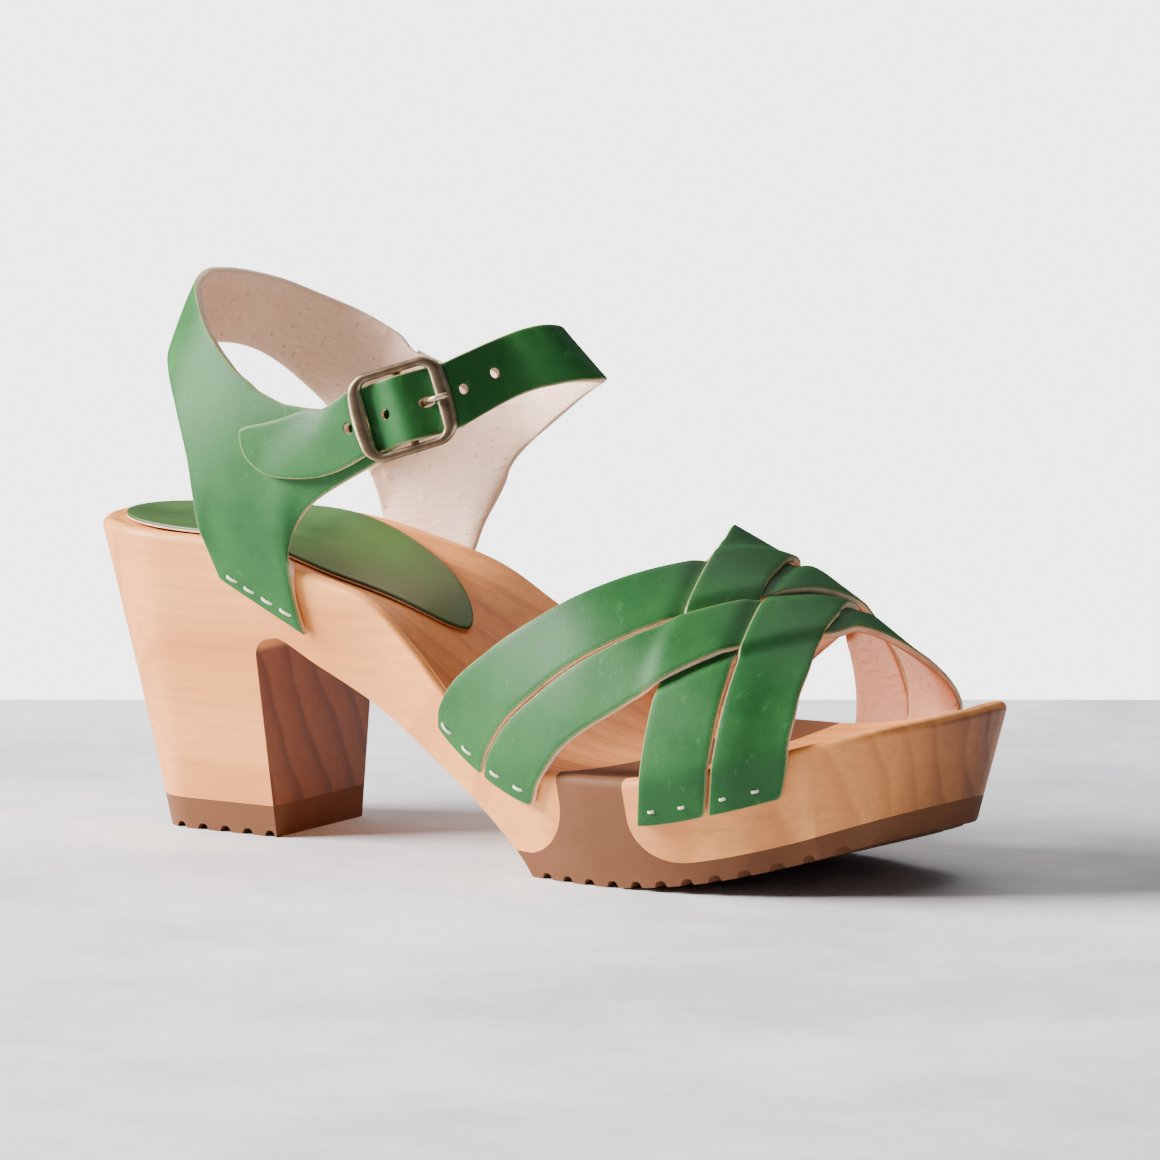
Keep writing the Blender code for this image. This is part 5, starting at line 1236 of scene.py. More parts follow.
# low x, y and up, top x, y and up, belly, sunk under a lap, forward bend; None lies on the wood's side
QUARTER_COLUMNS = (
    (0.212, 0.545, 0.200, 0.282, 0.665, 0.595, 0.000, 1.0, 0.0),
    (0.191, 0.529, 0.287, 0.255, 0.667, 0.631, 0.000, 1.0, 0.0),
    (0.177, 0.506, 0.356, 0.238, 0.652, 0.685, 0.000, 0.3, 0.0),
    (0.166, 0.487, 0.419, 0.222, 0.620, 0.732, 0.000, 0.0, 0.0),
    (0.144, 0.423, 0.518, 0.195, 0.564, 0.798, 0.005, 0.0, 0.0),
    (0.123, 0.357, 0.603, 0.165, 0.446, 0.873, 0.005, 0.0, 0.0),
    (0.104, 0.268, 0.661, 0.141, 0.321, 0.937, 0.005, 0.0, 0.0),
    (0.087, 0.144, 0.684, 0.119, 0.152, 0.985, 0.005, 0.0, 0.0),
    (0.077, 0.000, 0.676, 0.109, 0.000, 1.000, 0.005, 0.0, 0.0),
    (0.084, -0.128, 0.684, 0.115, -0.128, 0.969, 0.005, 0.0, 0.0),
    (0.101, -0.256, 0.655, 0.128, -0.208, 0.924, 0.005, 0.0, 0.0),
    (0.121, -0.361, 0.590, 0.152, -0.312, 0.848, 0.005, 0.0, 0.0),
    (0.140, -0.433, 0.502, 0.178, -0.386, 0.769, 0.005, 0.0, 0.0),
    (0.156, -0.481, 0.397, 0.200, -0.423, 0.703, 0.010, 0.0, 0.0),
    (0.169, -0.513, 0.284, 0.220, -0.449, 0.647, 0.015, 0.0, 0.0),
    (0.179, -0.537, 0.160, 0.235, -0.460, 0.615, 0.020, 0.0, 0.0),
    (0.189, -0.545, 0.018, 0.247, -0.468, 0.587, 0.030, 0.0, 0.0),
    (0.2075, None, -0.180, 0.261, -0.474, 0.566, 0.055, 0.0, -0.014),
    (0.259, None, -0.285, 0.280, -0.480, 0.542, 0.060, 0.0, -0.027),
    (0.306, None, -0.378, 0.300, -0.481, 0.534, 0.060, 0.0, -0.036),
    (0.3005, None, -0.270, 0.313, -0.481, 0.531, 0.056, 0.0, -0.027),
    (0.295, -0.525, -0.130, 0.326, -0.482, 0.531, 0.045, 0.0, -0.016),
    (0.2965, -0.525, 0.000, 0.336, -0.486, 0.537, 0.032, 0.0, -0.008),
    (0.312, -0.530, 0.115, 0.345, -0.496, 0.552, 0.020, 0.0, -0.003),
    (0.334, -0.535, 0.192, 0.3505, -0.504, 0.562, 0.012, 0.0, 0.0),
)
STRAP_COLUMNS = (
    (0.191, 0.529, 0.287, 0.255, 0.667, 0.631, 0.000, 0.0, 0.0),
    (0.208, 0.553, 0.163, 0.272, 0.673, 0.603, 0.000, 0.0, 0.0),
    (0.219, 0.567, 0.063, 0.288, 0.678, 0.582, 0.005, 0.0, 0.0),
    (0.228, 0.569, -0.063, 0.302, 0.680, 0.571, 0.012, 0.0, 0.0),
    (0.235, None, -0.189, 0.317, 0.681, 0.566, 0.035, 0.0, -0.010),
    (0.288, None, -0.263, 0.333, 0.679, 0.568, 0.035, 0.0, -0.018),
    (0.343, None, -0.342, 0.350, 0.678, 0.574, 0.035, 0.0, -0.025),
    (0.337, None, -0.240, 0.364, 0.673, 0.587, 0.035, 0.0, -0.019),
    (0.339, 0.574, -0.135, 0.379, 0.668, 0.603, 0.030, 0.0, -0.012),
    (0.348, 0.622, 0.018, 0.393, 0.660, 0.627, 0.022, 0.0, -0.005),
    (0.366, 0.660, 0.184, 0.409, 0.641, 0.660, 0.012, 0.0, 0.0),
    (0.397, 0.660, 0.310, 0.428, 0.609, 0.692, 0.008, 0.0, 0.0),
    (0.434, 0.590, 0.397, 0.449, 0.537, 0.724, 0.004, 0.0, 0.0),
    (0.469, 0.494, 0.473, 0.466, 0.449, 0.753, 0.000, 0.0, 0.0),
    (0.510, 0.353, 0.550, 0.488, 0.304, 0.790, 0.000, 0.0, 0.0),
    (0.545, 0.232, 0.610, 0.508, 0.184, 0.824, 0.000, 0.0, 0.0),
    (0.567, 0.145, 0.645, 0.520, 0.096, 0.848, 0.000, 0.0, 0.0),
    (0.571, 0.075, 0.655, 0.524, 0.032, 0.862, 0.000, 0.0, 0.0),
    (0.562, 0.005, 0.655, 0.520, -0.025, 0.868, 0.000, 0.0, 0.0),
    (0.541, -0.075, 0.640, 0.504, -0.090, 0.853, 0.000, 0.0, 0.0),
    (0.512, -0.168, 0.598, 0.484, -0.176, 0.813, 0.000, 0.0, 0.0),
)
FREE_END = ((0.368, 0.312, 0.352, 0.553), (0.352, 0.286, 0.337, 0.522), (0.331, 0.264, 0.317, 0.518),
            (0.300, 0.252, 0.291, 0.484), (0.276, 0.260, 0.270, 0.460), (0.259, 0.290, 0.252, 0.444),
            (0.249, 0.325, 0.243, 0.430), (0.243, 0.365, 0.240, 0.415))
# along the strap from the bar, then the tongue's lower and upper edge across it
QUARTER_FRONT = ((-0.0120, -0.0106, 0.0082), (-0.0090, -0.0096, 0.0081), (-0.0058, -0.0084, 0.0080))
TAB_CORNERS = (16, 17, 18)
# first row, last row, passes and the margin that is held at the edges
QUARTER_IRONING = ((72, 160, 36, 0.35), (122, 164, 16, 0.0))
STRAP_IRONING = ((6, 84, 40, 0.35), (42, 90, 10, 0.0))
print("columns of quarter and strap:", len(QUARTER_COLUMNS), len(STRAP_COLUMNS))


# %% The buckle's own frame
BUCKLE_PLACE = (0.4255, -0.443, 0.548)
BUCKLE_TURNS = (18, 19, 8)


def buckle_frame():
    """The centre bar's place and three ways: along the strap, outward and across it."""
    pitch, yaw, lean = (math.radians(degrees) for degrees in BUCKLE_TURNS)
    along = Vector((math.cos(pitch) * math.cos(yaw), math.cos(pitch) * math.sin(yaw), math.sin(pitch)))
    flat = Vector((math.sin(yaw), -math.cos(yaw), 0))
    across = flat.cross(along)
    outward = (flat * math.cos(lean) + across * math.sin(lean)).normalized()
    return (quarter_point(*BUCKLE_PLACE), np.array(along), np.array(outward),
            np.array(outward.cross(along)))


def quarter_point(along, side, up):
    return np.array((along * LENGTH, side * SEAT_WIDTH, SEAT_HEIGHT + up * COLLAR_RISE))


BAR_PLACE, ALONG, OUTWARD, ACROSS = buckle_frame()


def at_buckle(t, n, b):
    return BAR_PLACE + t * ALONG + n * OUTWARD + b * ACROSS


def local_row(t, level, low, top):
    return np.array([at_buckle(t, level, low + (top - low) * s) for s in np.linspace(0, 1, QUARTER_STEPS)])


print("the buckle's bar is at", [round(value * 1000, 1) for value in BAR_PLACE], "mm")


# %% Rows of the outer face
def unit(way):
    return way / np.linalg.norm(way)


def leather_rows(columns, side, turn):
    """One row for each column, from the lower edge to the upper one."""
    ends = []
    for low_x, low_y, low_up, top_x, top_y, top_up, *_ in columns:
        low = quarter_point(low_x, low_y or 0, low_up)
        if low_y is None:
            x = low_x * LENGTH
            depth = rim_height(x, MIRROR[side]) - low[2]
            low = wood_side(side, x, depth, CLEARANCE + QUARTER_LEATHER)
        ends.append((low, quarter_point(top_x, top_y, top_up)))
    rows = []
    for k, (column, (low, top)) in enumerate(zip(columns, ends)):
        along = ends[min(k + 1, len(ends) - 1)][1] - ends[max(k - 1, 0)][1]
        outward = unit(turn * np.cross(along, (0, 0, 1)))
        t = np.linspace(0, 1, QUARTER_STEPS)[:, None]
        swell = 4 * t * (1 - t)
        row = low + t * (top - low)
        row += (swell * column[6] * SEAT_WIDTH - column[7] * (QUARTER_LEATHER + CLEARANCE)) * outward
        row[:, 0] += swell[:, 0] * column[8] * LENGTH
        rows.append(row)
    return rows


def clear_of_wood(points):
    """Moves outer points out until the leather behind them clears the wood's side and rim."""
    points = np.array(points)
    for side, sign in MIRROR.items():
        mine = (points[..., 1] < 0) == (sign < 0)
        depth = rim_height(points[..., 0], sign) - points[..., 2]
        wall = wood_side(side, points[..., 0], np.maximum(depth, 0), CLEARANCE + QUARTER_LEATHER)
        out = np.maximum(np.abs(points[..., 1]), np.abs(wall[..., 1]))
        fade = np.clip((depth + RIM_ROUND) / 0.0006, 0, 1)
        out = np.abs(points[..., 1]) * (1 - fade) + out * fade
        points[..., 1] = np.where(mine, np.copysign(out, points[..., 1]), points[..., 1])
    return points


def smooth_rows(rows):
    """Rows on smooth curves through the given ones, all kept clear of the wood."""
    last = len(rows) - 1
    return clear_of_wood(smooth_curve(range(last + 1), rows, np.linspace(0, last, last * ROWS_BETWEEN + 1)))


def ironed(rows, first, last, passes, margin):
    """Rows smoothed along the leather between two of them, less and less within a margin at both edges."""
    rows = np.array(rows)
    share = np.linspace(0, 1, QUARTER_STEPS)
    hold = np.clip((np.minimum(share, 1 - share) + 1e-9) / (margin + 1e-9), 0, 1)[:, None]
    for _ in range(passes):
        change = np.zeros_like(rows)
        change[1:-1] = 0.25 * rows[:-2] - 0.5 * rows[1:-1] + 0.25 * rows[2:]
        rows[first:last] += hold * change[first:last]
    return clear_of_wood(rows)


def straight_cuts(rows, corners):
    """The lower cut edge laid straight between some columns, so that it turns sharply at them."""
    between = ROWS_BETWEEN
    fade = (1 - np.linspace(0, 1, QUARTER_STEPS)[:, None]) ** 4
    low = rows[:, 0].copy()
    for a, b in zip(corners, corners[1:]):
        for k in range(a * between, b * between + 1):
            share = (k - a * between) / ((b - a) * between)
            rows[k] += fade * (low[a * between] * (1 - share) + low[b * between] * share - low[k])
    return rows


def respaced(grid, width):
    """The same face with close lines next to all four cut edges."""
    shares = near_edges(grid.shape[1] - 6, width)
    grid = smooth_curve(np.linspace(0, 1, grid.shape[1]), np.moveaxis(grid, 1, 0), shares)
    grid = np.moveaxis(grid, 0, 1)
    steps = np.linalg.norm(np.diff(grid, axis=0), axis=2).mean(axis=1)
    length = np.concatenate(((0,), np.cumsum(steps)))
    close = np.array(CLOSE_LINES)
    inner = length[(length > 0.0008) & (length < length[-1] - 0.0008)]
    places = np.concatenate((close, inner, length[-1] - close[::-1]))
    return smooth_curve(length, grid, places)


def behind_ankle(points):
    return points * (0, 0, 1) + np.array((ANKLE_ALONG * LENGTH, 0, 0))


def waved_sheet(name, grid, fade, seed):
    """The sheet of a grid with slow waves where fade is 1; next to the wood it stays flat."""
    flat = np.interp(grid[..., 2], (FLAT_BELOW, WAVED_ABOVE), (0, 1))
    wave = unevenness(grid, WAVE_SIZE, WAVE_HEIGHT, seed) * fade[:, None] * flat
    grid = grid + grid_normals(grid, behind_ankle) * wave[..., None]
    return leather_sheet(name, grid.reshape(-1, 3), grid_faces(*grid.shape[:2]), QUARTER_LEATHER,
                         behind_ankle)


print("first column of the quarter:", np.round(leather_rows(QUARTER_COLUMNS, "lateral", 1)[0][0], 4).tolist())


# %% Cutting the quarter
FOLD_SLOT = ((-0.0029, -0.004, -0.0015), (0.005, 0.008, 0.0015))
leather_materials = [grain_material, flesh_material, edge_material]


def build_heel_quarter():
    rows = leather_rows(QUARTER_COLUMNS, "lateral", 1)
    for t, low, top in QUARTER_FRONT:
        rows.append(local_row(t, QUARTER_LEVEL, low, top))
    rows = straight_cuts(smooth_rows(rows), TAB_CORNERS)
    for ironing in QUARTER_IRONING:
        rows = ironed(rows, *ironing)
    rows = list(rows)
    for degrees in range(155, -105, -10):
        angle = math.radians(degrees)
        rows.append(local_row(FOLD_RADIUS * math.cos(angle), BAR_LEVEL + FOLD_RADIUS * math.sin(angle),
                              -FOLD_WIDTH / 2, FOLD_WIDTH / 2))
    grid = respaced(np.array(rows), 0.022)
    last = grid.shape[0]
    fade = np.interp(np.arange(last), (0, 20, last - 50, last - 36), (0, 1, 1, 0))
    piece = waved_sheet("quarter_and_heel_band", grid, fade, 5)
    punch(piece, [box_in_buckle(*FOLD_SLOT)])
    return piece


def box_in_buckle(low, high):
    corners = [at_buckle(*corner) for corner in product(*zip(low, high))]
    faces = [(0, 1, 3, 2), (4, 6, 7, 5), (0, 4, 5, 1), (2, 3, 7, 6), (0, 2, 6, 4), (1, 5, 7, 3)]
    return cutter_from(corners, faces)


def cutter_from(vertices, faces):
    mesh = bpy.data.meshes.new("punch")
    mesh.from_pydata([tuple(v) for v in vertices], [], faces)
    turn_outward(mesh)
    mesh.polygons.foreach_set("material_index", [2] * len(mesh.polygons))
    for material in leather_materials:
        mesh.materials.append(material)
    thing = bpy.data.objects.new("punch", mesh)
    bpy.context.scene.collection.objects.link(thing)
    return thing


def punch(piece, cutters):
    """Takes the cutters out of the sheet; the new faces get the cut edge's finish."""
    if not piece.data.materials:
        for material in leather_materials:
            piece.data.materials.append(material)
    for cutter in cutters:
        cut = piece.modifiers.new("punch", "BOOLEAN")
        cut.operation = "DIFFERENCE"
        cut.solver = "EXACT"
        cut.object = cutter
        settle(piece)
        bpy.data.objects.remove(cutter)


quarter_piece = build_heel_quarter()
finish_piece(quarter_piece, leather_materials, "green_leather", "heel_quarter")
print("quarter faces:", len(quarter_piece.data.polygons))

# %% [markdown]
# ### Ankle strap
# The medial quarter runs up the inner side of the ankle, narrows into the strap, folds sharply round the
# front, passes under the buckle's frame and over its bar, and lies back along the quarter. Its free end is
# laid on the quarter by casting rays at it, because a strap rests on what is really under it. Typed
# heights could do the same, but each change to the quarter would then leave a gap or a clash.


# %% Level of the strap through the buckle
def strap_level(t):
    """Height of the strap's outer face above the quarter's plane, at t along it from the bar."""
    flat = QUARTER_LEVEL + CLEARANCE + QUARTER_LEATHER
    bulge = BAR_LEVEL + FOLD_RADIUS + CLEARANCE + QUARTER_LEATHER
    reach = BUCKLE_LENGTH / 2 - BUCKLE_SIDE_BAR - CLEARANCE
    return flat + (bulge - flat) * (0.5 + 0.5 * math.cos(math.pi * min(abs(t) / reach, 1)))


print("the strap rises over the bar by", round((strap_level(0) - strap_level(1)) * 1000, 1), "mm")

# %% Cutting the strap
def around_circle(count):
    return np.arange(count) * 2 * math.pi / count


def free_end_rows():
    """The strap's last rows, resting on the quarter's outer face."""
    shift = Vector(LAST_PLACE)
    seat = BVHTree.FromPolygons([v.co - shift for v in quarter_piece.data.vertices],
                                [tuple(p.vertices) for p in quarter_piece.data.polygons])
    rows = []
    for low_x, low_up, top_x, top_up in FREE_END:
        row = []
        for share in np.linspace(0, 1, QUARTER_STEPS):
            x = (low_x + (top_x - low_x) * share) * LENGTH
            z = SEAT_HEIGHT + (low_up + (top_up - low_up) * share) * COLLAR_RISE
            place, normal, _, _ = seat.ray_cast(Vector((x, -BALL_WIDTH, z)), Vector((0, 1, 0)))
            row.append(np.array(place + normal * (QUARTER_LEATHER + 2.0 * CLEARANCE)))
        rows.append(row)
    return rows


def build_ankle_strap():
    half = STRAP_WIDTH / 2
    approach = BUCKLE_LENGTH / 2
    rows = leather_rows(STRAP_COLUMNS, "medial", -1)
    rows = smooth_rows(rows + [local_row(approach, strap_level(approach), -half, half)])
    for ironing in STRAP_IRONING:
        rows = ironed(rows, *ironing)
    rows = list(rows)
    joint = len(rows) - 1
    for t in np.linspace(approach, -approach, 40)[1:]:
        rows.append(local_row(t, strap_level(t), -half, half))
    leaving = len(rows) - 1
    tail = [rows[-1]] + free_end_rows()
    last = len(tail) - 1
    rows += list(smooth_curve(range(last + 1), tail, np.linspace(0, last, 5 * last + 1))[1:])
    rows = np.array(rows)
    grid = respaced(rows, 0.018)
    fade = np.interp(np.arange(grid.shape[0]), (0, 12, joint - 20, joint), (0, 1, 1, 0))
    piece = waved_sheet("ankle_strap_leather", grid, fade, 8)
    cutters = []
    for k, share in enumerate(HOLE_PLACES):
        t = share * HOLE_SPACING
        if abs(t) <= approach:
            place = (at_buckle(t, strap_level(t), 0), OUTWARD, ALONG)
        else:
            place = place_on_strap(rows, *((joint, -1) if t > 0 else (leaving, 1)), abs(t) - approach)
        cutters.append(hole_cutter(*place, PRONG_HOLE_LENGTH if k == PRONG_HOLE else HOLE_DIAMETER))
    punch(piece, cutters)
    return piece


def place_on_strap(rows, k, turn, left):
    """Place, normal and way at a distance from row k, measured along the strap's middle line."""
    middles = rows.mean(axis=1)
    while np.linalg.norm(middles[k + turn] - middles[k]) < left:
        left -= np.linalg.norm(middles[k + turn] - middles[k])
        k += turn
    step = middles[k + turn] - middles[k]
    centre = middles[k] + step * left / np.linalg.norm(step)
    normal = np.cross(rows[k][-1] - rows[k][0], step)
    if normal @ (centre - behind_ankle(centre)) < 0:
        normal = -normal
    return centre, normal, step


def hole_cutter(centre, normal, along, length):
    """An oblong punch through the leather; length is its size along the strap."""
    normal = unit(normal)
    along = unit(along - (along @ normal) * normal)
    across = np.cross(normal, along)
    turns = 28
    vertices = []
    for level in (-0.004, 0.003):
        for angle in around_circle(turns):
            vertices.append(centre + level * normal + length / 2 * math.cos(angle) * along
                            + HOLE_DIAMETER / 2 * math.sin(angle) * across)
    faces = [(i, (i + 1) % turns, turns + (i + 1) % turns, turns + i) for i in range(turns)]
    faces += [tuple(range(turns)), tuple(range(turns, 2 * turns))]
    return cutter_from(vertices, faces)


strap_piece = build_ankle_strap()
finish_piece(strap_piece, leather_materials, "green_leather", "ankle_strap")
print("strap faces:", len(strap_piece.data.polygons))

# %% [markdown]
# ### Heel sock
# A thin pointed oval of the same leather is glued on the footbed under the heel. It is laid in rings that
# follow the dish of the wood, and its edge rolls down to the wood. A Shrinkwrap modifier could press it
# on too, but the footbed's own formula is exact, also where the wood's faces are large.

# %% The sock's oval
SOCK_LEATHER = 0.0012
SOCK_INSET = 0.0055
SOCK_LENGTH = 0.1035
SOCK_MIDDLE = 0.185 * LENGTH


def sock_edge(angle):
    back = math.cos(angle) > 0
    x = SOCK_MIDDLE - (SOCK_MIDDLE - SOCK_INSET if back else SOCK_LENGTH - SOCK_MIDDLE) * math.cos(angle)
    side = "lateral" if math.sin(angle) < 0 else "medial"
    widest = float(half_width(side, SOCK_MIDDLE)) - SOCK_INSET
    return x, math.copysign(widest * abs(math.sin(angle)) ** (0.92 if back else 1.25), math.sin(angle))


def footbed_at(x, y):
    """Height of the footbed at a place, as an array."""
    radius = float(half_width("lateral", 0))
    from_heel = np.maximum(x, radius)
    reach = np.where(y < 0, half_width("lateral", from_heel), half_width("medial", from_heel))
    share = np.hypot(np.minimum(x - radius, 0), y) / reach
    return footbed_height(x, y / reach, share / (1 - RIM_ROUND / reach))


def build_sock():
    rings = np.concatenate(((1.0, 0.9985, 0.9955, 0.989), np.linspace(0.96, 0.06, 16)))
    turns = 110
    edge = np.array([sock_edge(2 * math.pi * (i + 0.5) / turns) for i in range(turns)])
    centre = np.array((SOCK_MIDDLE, 0))
    flat = np.concatenate([centre + (edge - centre) * ring for ring in rings] + [centre[None]])
    top = footbed_at(flat[:, 0], flat[:, 1]) + 2 * CLEARANCE + SOCK_LEATHER
    vertices = np.column_stack((flat, top))
    faces = ring_faces(len(rings), turns)
    last = (len(rings) - 1) * turns
    faces += [(last + i, last + (i + 1) % turns, last + turns) for i in range(turns)]
    piece = leather_sheet("heel_sock_leather", vertices, faces, SOCK_LEATHER,
                          lambda p: p - np.array((0, 0, 0.05)), roll=0.0004)
    return finish_piece(piece, [sock_material, flesh_material, sock_material], "green_leather", "heel_sock")


sock_piece = build_sock()
print("sock faces:", len(sock_piece.data.polygons))

# %% [markdown]
# ## Buckle and prong
# The buckle is a cast frame with wide side bars that bulge outward, and a thin centre bar on two lugs
# carries the prong. A bevelled curve could make it, but its section could not widen at the sides, so the
# frame is swept as one closed ring whose section is a soft rectangle. An attribute makes its finish bright
# along the edges of the bars' top faces, most on the wide side bars, and dark on their middles: partly
# brass worn bare, partly painted highlight.


# %% Parts of a casting
def rounded_outline(half_t, half_b, radius, steps=9):
    """A rectangle with round corners as points of t and b, also along its straight sides."""
    points = []
    for k, (sign_t, sign_b) in enumerate(((1, 1), (-1, 1), (-1, -1), (1, -1))):
        for i in range(steps):
            angle = math.pi / 2 * (k + i / (steps - 1))
            points.append((sign_t * (half_t - radius) + radius * math.cos(angle),
                           sign_b * (half_b - radius) + radius * math.sin(angle)))
    return np.array(points)


def soft_power(value, power):
    """The value raised to a power that makes a circle squarer, with its sign kept."""
    return math.copysign(abs(value) ** power, value)


def wire(path, radii, turns=16):
    """A round wire through places in the buckle's frame, with closed ends."""
    path = np.array(path)
    vertices = []
    for k, (point, radius) in enumerate(zip(path, radii)):
        way = unit(path[min(k + 1, len(path) - 1)] - path[max(k - 1, 0)])
        side = unit(np.cross(way, (0, 1, 0) if abs(way[1]) < 0.9 else (1, 0, 0)))
        up = np.cross(side, way)
        for angle in around_circle(turns):
            vertices.append(point + radius * (math.cos(angle) * side + math.sin(angle) * up))
    faces = ring_faces(len(path), turns)
    faces += [tuple(range(turns)), tuple(range((len(path) - 1) * turns, len(path) * turns))]
    return vertices, faces


def metal_piece(name, shapes, *stands_for):
    """One piece from closed shapes in the buckle's frame: points, faces and how bright each is, by wear and
    painted highlight.
    """
    vertices, faces, wear_and_highlight = [], [], []
    for shape_vertices, shape_faces, rubbed_and_lit in shapes:
        faces += [tuple(len(vertices) + i for i in face) for face in shape_faces]
        vertices += [at_buckle(*v) for v in shape_vertices]
        wear_and_highlight += list(np.broadcast_to(rubbed_and_lit, len(shape_vertices)))
    piece = add_piece(name, vertices, faces, [brass_material], "antique_brass", *stands_for)
    attribute = piece.data.attributes.new("rubbed_and_lit", "FLOAT", "POINT")
    attribute.data.foreach_set("value", wear_and_highlight)
    turn_outward(piece.data)
    smooth_shading(piece, 55)
    return piece


print("points round a soft rectangle:", len(rounded_outline(0.01, 0.01, 0.002)))

# %% Buckle frame, bar and lugs
FRAME_UNDER = QUARTER_LEVEL + 2 * CLEARANCE + QUARTER_LEATHER
FRAME_END_BAR = 0.0021
CORNER_STEPS = 11
SIDE_STEPS = 12
FRAME_CORNER = 0.0046
WINDOW_CORNER = 0.0022
FRAME_BULGE = 0.0014
WINDOW_BULGE = 0.0001
SWEEP_STEPS = 28


def frame_outline(half_t, half_b, corner, bulge):
    """Outline of the frame whose short sides bulge outward between the corners."""
    corners = rounded_outline(half_t - bulge, half_b, corner, CORNER_STEPS)
    parts = []
    for first in range(0, len(corners), CORNER_STEPS):
        a, b = corners[first + CORNER_STEPS - 1], corners[(first + CORNER_STEPS) % len(corners)]
        parts.append(corners[first:first + CORNER_STEPS])
        parts.append(a + (b - a) * np.linspace(0, 1, SIDE_STEPS)[1:-1, None])
    outline = np.concatenate(parts)
    swell = np.clip(1 - (outline[:, 1] / half_b) ** 2, 0, 1)
    outward = np.clip(np.abs(outline[:, 0]) / (half_t * 0.8), 0, 1) ** 4
    outline[:, 0] += np.sign(outline[:, 0]) * bulge * swell * outward
    return outline


def build_buckle():
    window = BUCKLE_HEIGHT / 2 - FRAME_END_BAR
    outer = frame_outline(BUCKLE_LENGTH / 2, BUCKLE_HEIGHT / 2, FRAME_CORNER, FRAME_BULGE)
    inner = frame_outline(BUCKLE_LENGTH / 2 - BUCKLE_SIDE_BAR, window, WINDOW_CORNER, WINDOW_BULGE)
    wide = np.linalg.norm(outer - inner, axis=1) - FRAME_END_BAR
    wide = np.clip(wide / (BUCKLE_SIDE_BAR - FRAME_END_BAR), 0, 1)
    rings, wear_and_highlight = [], []
    for angle in around_circle(SWEEP_STEPS):
        share = 0.5 - 0.5 * soft_power(math.cos(angle), 2 / 3.4)
        level = 0.5 + 0.5 * soft_power(math.sin(angle), 2 / 2.8)
        level *= 1 - 0.14 * (1 - math.sin(math.pi * share)) if level > 0.5 else 1
        flat = outer + (inner - outer) * share
        rings.append(np.column_stack((flat[:, 0], np.full(len(flat), FRAME_UNDER + level * BUCKLE_THICKNESS),
                                      flat[:, 1])))
        # Painted highlight and wear: the top face is bright along its edges, most on the wide side bars.
        edge_wear_and_highlight = math.exp(-((min(share, 1 - share) - 0.10) / 0.085) ** 2) if math.sin(angle) > 0 else 0.0
        wear_and_highlight.append(0.08 + edge_wear_and_highlight * (0.25 + 1.0 * wide))
    faces = ring_faces(len(rings), len(rings[0]), closed=True)
    frame_shape = (np.concatenate(rings), faces, np.concatenate(wear_and_highlight))
    reach = window + 0.0007
    bar = wire([(0, BAR_LEVEL, b) for b in np.linspace(-reach, reach, 8)], [CENTRE_BAR_RADIUS] * 8)
    shapes = [frame_shape, bar + (0.3,)]
    for sign in (-1, 1):
        low, high = sorted((sign * (window + 0.0001), sign * (BUCKLE_HEIGHT / 2 - 0.0004)))
        lug = soft_box((-0.0013, BAR_LEVEL - 0.0011, low), (0.0013, FRAME_UNDER + 0.0006, high), 0.0004)
        shapes.append(lug + (0.1,))
    return metal_piece("buckle_frame_and_bar", shapes, "buckle")


def soft_box(low, high, soft):
    """A box with cut corners, as a sweep of two rounded rectangles."""
    middle = [(a + b) / 2 for a, b in zip(low, high)]
    half = [(b - a) / 2 for a, b in zip(low, high)]
    vertices = []
    rows = ((low[1], soft), (low[1] + soft, 0), (high[1] - soft, 0), (high[1], soft))
    for level, inset in rows:
        for t, b in rounded_outline(half[0] - inset, half[2] - inset, min(half[0], half[2]) * 0.4, 4):
            vertices.append((middle[0] + t, level, middle[2] + b))
    size = len(vertices) // len(rows)
    faces = ring_faces(len(rows), size)
    faces += [tuple(range(size)), tuple(range(3 * size, 4 * size))]
    return vertices, faces


buckle_piece = build_buckle()
print("buckle faces:", len(buckle_piece.data.polygons))


# %% Prong
PRONG_RADIUS = 0.0008
EYE_HALF_WIRE = 0.00055


def build_prong():
    # along the strap, level and share of the prong's radius, from the bar to the tip
    stops = ((0.0017, 0.00150, 0.9), (0.0041, 0.00165, 1.0), (0.0054, 0.00260, 1.0), (0.0066, 0.00490, 1.0),
             (0.0086, 0.00700, 1.0), (0.0108, 0.00725, 1.0), (0.0122, 0.00720, 0.9), (0.0127, 0.00715, 0.5))
    fine = smooth_curve(range(len(stops)), stops, np.linspace(0, len(stops) - 1, 50))
    path = [(t, n, 0.0) for t, n, _ in fine]
    radii = list(PRONG_RADIUS * fine[:, 2])
    path.append((path[-1][0] + 0.00015, path[-1][1], 0.0))
    radii.append(0.0001)
    shapes = [wire(path, radii) + (0.6,)]
    inner = CENTRE_BAR_RADIUS + CLEARANCE
    ring = []
    for angle in around_circle(40):
        row = []
        for turn in around_circle(12):
            r = inner + EYE_HALF_WIRE + EYE_HALF_WIRE * soft_power(math.cos(turn), 0.7)
            b = PRONG_RADIUS * soft_power(math.sin(turn), 0.7)
            row.append((r * math.cos(angle), BAR_LEVEL + r * math.sin(angle), b))
        ring.append(row)
    shapes.append((np.concatenate(ring), ring_faces(len(ring), len(ring[0]), closed=True), 0.3))
    return metal_piece("buckle_prong_wire", shapes, "buckle_prong")


prong_piece = build_prong()
print("prong faces:", len(prong_piece.data.polygons))

# %% [markdown]
# ## Stitches
# Cream thread shows in single stitches just above the lower cut edges, where each leather end is sewn
# before it is nailed, and a double row of dark green thread closes the lap on the medial side. Each
# stitch is a short bent thread whose ends dive into the leather, laid on the face by casting a ray at it.
# Geometry Nodes could scatter them along a curve, but there are few, and each has its own place.


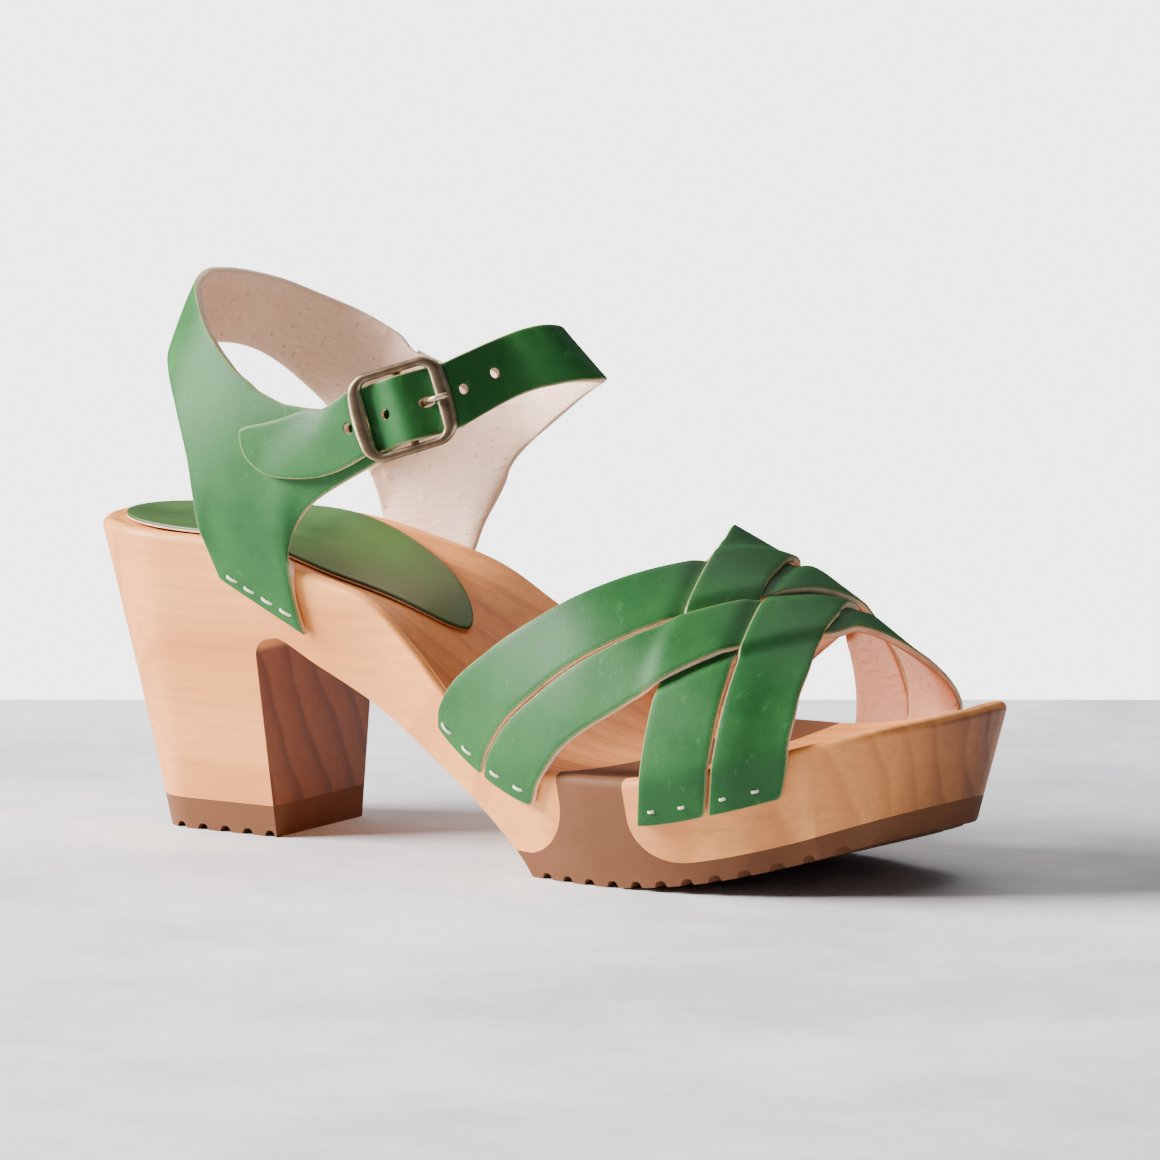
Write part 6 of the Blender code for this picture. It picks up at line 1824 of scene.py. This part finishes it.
# %% One stitch
def surface_point(face_tree, x, z, side):
    """Outer face of a sheet at x and z, seen square from one side; gives the place and its normal."""
    away = MIRROR[side]
    place, normal, _, _ = face_tree.ray_cast(Vector((x, away * 0.12, z)), Vector((0, -away, 0)))
    return np.array(place), np.array(normal)


def stitch(start, end, out, thickness, vertices, faces):
    """A thread from start to end that rises over the face between them."""
    turns, steps = 8, 9
    way = end - start
    side = unit(np.cross(way, out))
    slope = unit(np.cross(side, way))
    first = len(vertices)
    for share in np.linspace(0, 1, steps):
        rise = math.sin(math.pi * share) ** 0.45 * thickness * 0.95 - thickness * 0.55
        middle = start + way * share + out * rise
        for angle in around_circle(turns):
            vertices.append(middle + thickness / 2 * (math.cos(angle) * side + math.sin(angle) * slope))
    faces += ring_faces(steps, turns, first)
    faces.append(tuple(first + i for i in range(turns)))
    faces.append(tuple(first + (steps - 1) * turns + i for i in range(turns)))


def sew(name, seams, thickness, material, slot):
    """All stitches of one thread as one piece; a seam is a sheet, a side and the stitches' two ends."""
    vertices, faces = [], []
    for sheet, side, places in seams:
        for x0, z0, x1, z1 in places:
            start, normal_a = surface_point(leather_faces[sheet], x0, z0, side)
            end, normal_b = surface_point(leather_faces[sheet], x1, z1, side)
            stitch(start, end, unit(normal_a + normal_b), thickness, vertices, faces)
    piece = add_piece(name, vertices, faces, [material], slot)
    turn_outward(piece.data)
    smooth_shading(piece, 60)
    print(name, "stitches:", sum(len(places) for _, _, places in seams))
    return piece


print("sheets to sew:", sorted(leather_faces))


# %% Cream stitches at the lower edges
def above_edge(name, side, above, spans):
    """A seam at a height above the strips' lower edge; a span is where a stitch starts and ends."""
    places = []
    for x0, x1 in spans:
        z0, z1 = (float(rim_height(x, MIRROR[side])) - REACH[name][side] * SEAT_HEIGHT + above
                  for x in (x0, x1))
        places.append((x0, z0, x1, z1))
    return name, side, places


CREAM_SEAMS = (
    # a sheet, a side and, for each stitch, the x and z of its two ends
    ("quarter_and_heel_band", "lateral",
     ((0.0528, 0.0669, 0.0561, 0.0655), (0.0578, 0.0645, 0.0610, 0.0631),
      (0.0628, 0.0622, 0.0662, 0.0607), (0.0680, 0.0598, 0.0716, 0.0582))),
    ("ankle_strap_leather", "medial",
     ((0.0591, 0.0685, 0.0625, 0.0671), (0.0650, 0.0663, 0.0683, 0.0649),
      (0.0702, 0.0640, 0.0737, 0.0626), (0.0758, 0.0616, 0.0795, 0.0600))),
    above_edge("straps_from_lateral", "lateral", 0.0034,
               ((0.1175, 0.1207), (0.1243, 0.1275), (0.1337, 0.1369), (0.1414, 0.1446))),
    above_edge("straps_from_toe", "lateral", 0.0036,
               ((0.1812, 0.1830), (0.1890, 0.1908), (0.1990, 0.2007), (0.2060, 0.2077))),
    above_edge("straps_from_toe", "medial", 0.0034,
               ((0.1332, 0.1364), (0.1392, 0.1424), (0.1452, 0.1482), (0.1508, 0.1538))),
    above_edge("straps_from_lateral", "medial", 0.0036,
               ((0.1872, 0.1890), (0.1945, 0.1963), (0.2030, 0.2048), (0.2100, 0.2118))),
)
CREAM_THICKNESS = 0.00075
sew("cream_stitches", CREAM_SEAMS, CREAM_THICKNESS, cream_thread, "green_leather")


# %% Double green row on the medial lap
GREEN_THICKNESS = 0.00062
LAP_STITCHES = 9
LAP_GAPS = (0.0022, 0.0062)
LAP_LOW = np.array((0.0464, 0.0961))
LAP_TOP = np.array((0.0620, 0.1148))
INTO_LEATHER = np.array((1, -0.35))


def lap_rows():
    """Stitch ends of two rows, each at a gap from the lap's cut edge."""
    rows = []
    for gap in LAP_GAPS:
        low = LAP_LOW + INTO_LEATHER * gap
        top = LAP_TOP + INTO_LEATHER * gap
        for k in range(LAP_STITCHES):
            a = low + (top - low) * (k + 0.12) / LAP_STITCHES
            b = low + (top - low) * (k + 0.80) / LAP_STITCHES
            rows.append((a[0], a[1], b[0], b[1]))
    return rows


sew("green_stitches", (("ankle_strap_leather", "medial", lap_rows()),), GREEN_THICKNESS, green_thread,
    "green_leather")

# %% [markdown]
# ## Size
# The sizes of the imported model's box and of the dressed shoe's box are printed one under the other.
# The dressed shoe has to stay in the imported model's box.

# %% Print both boxes
dressed_box = [list(corner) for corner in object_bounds()]
for label, box in (("cad", cad_box), ("dressed", dressed_box)):
    print(label, [round((high - low) * 1000, 1) for low, high in zip(*box)], "mm")
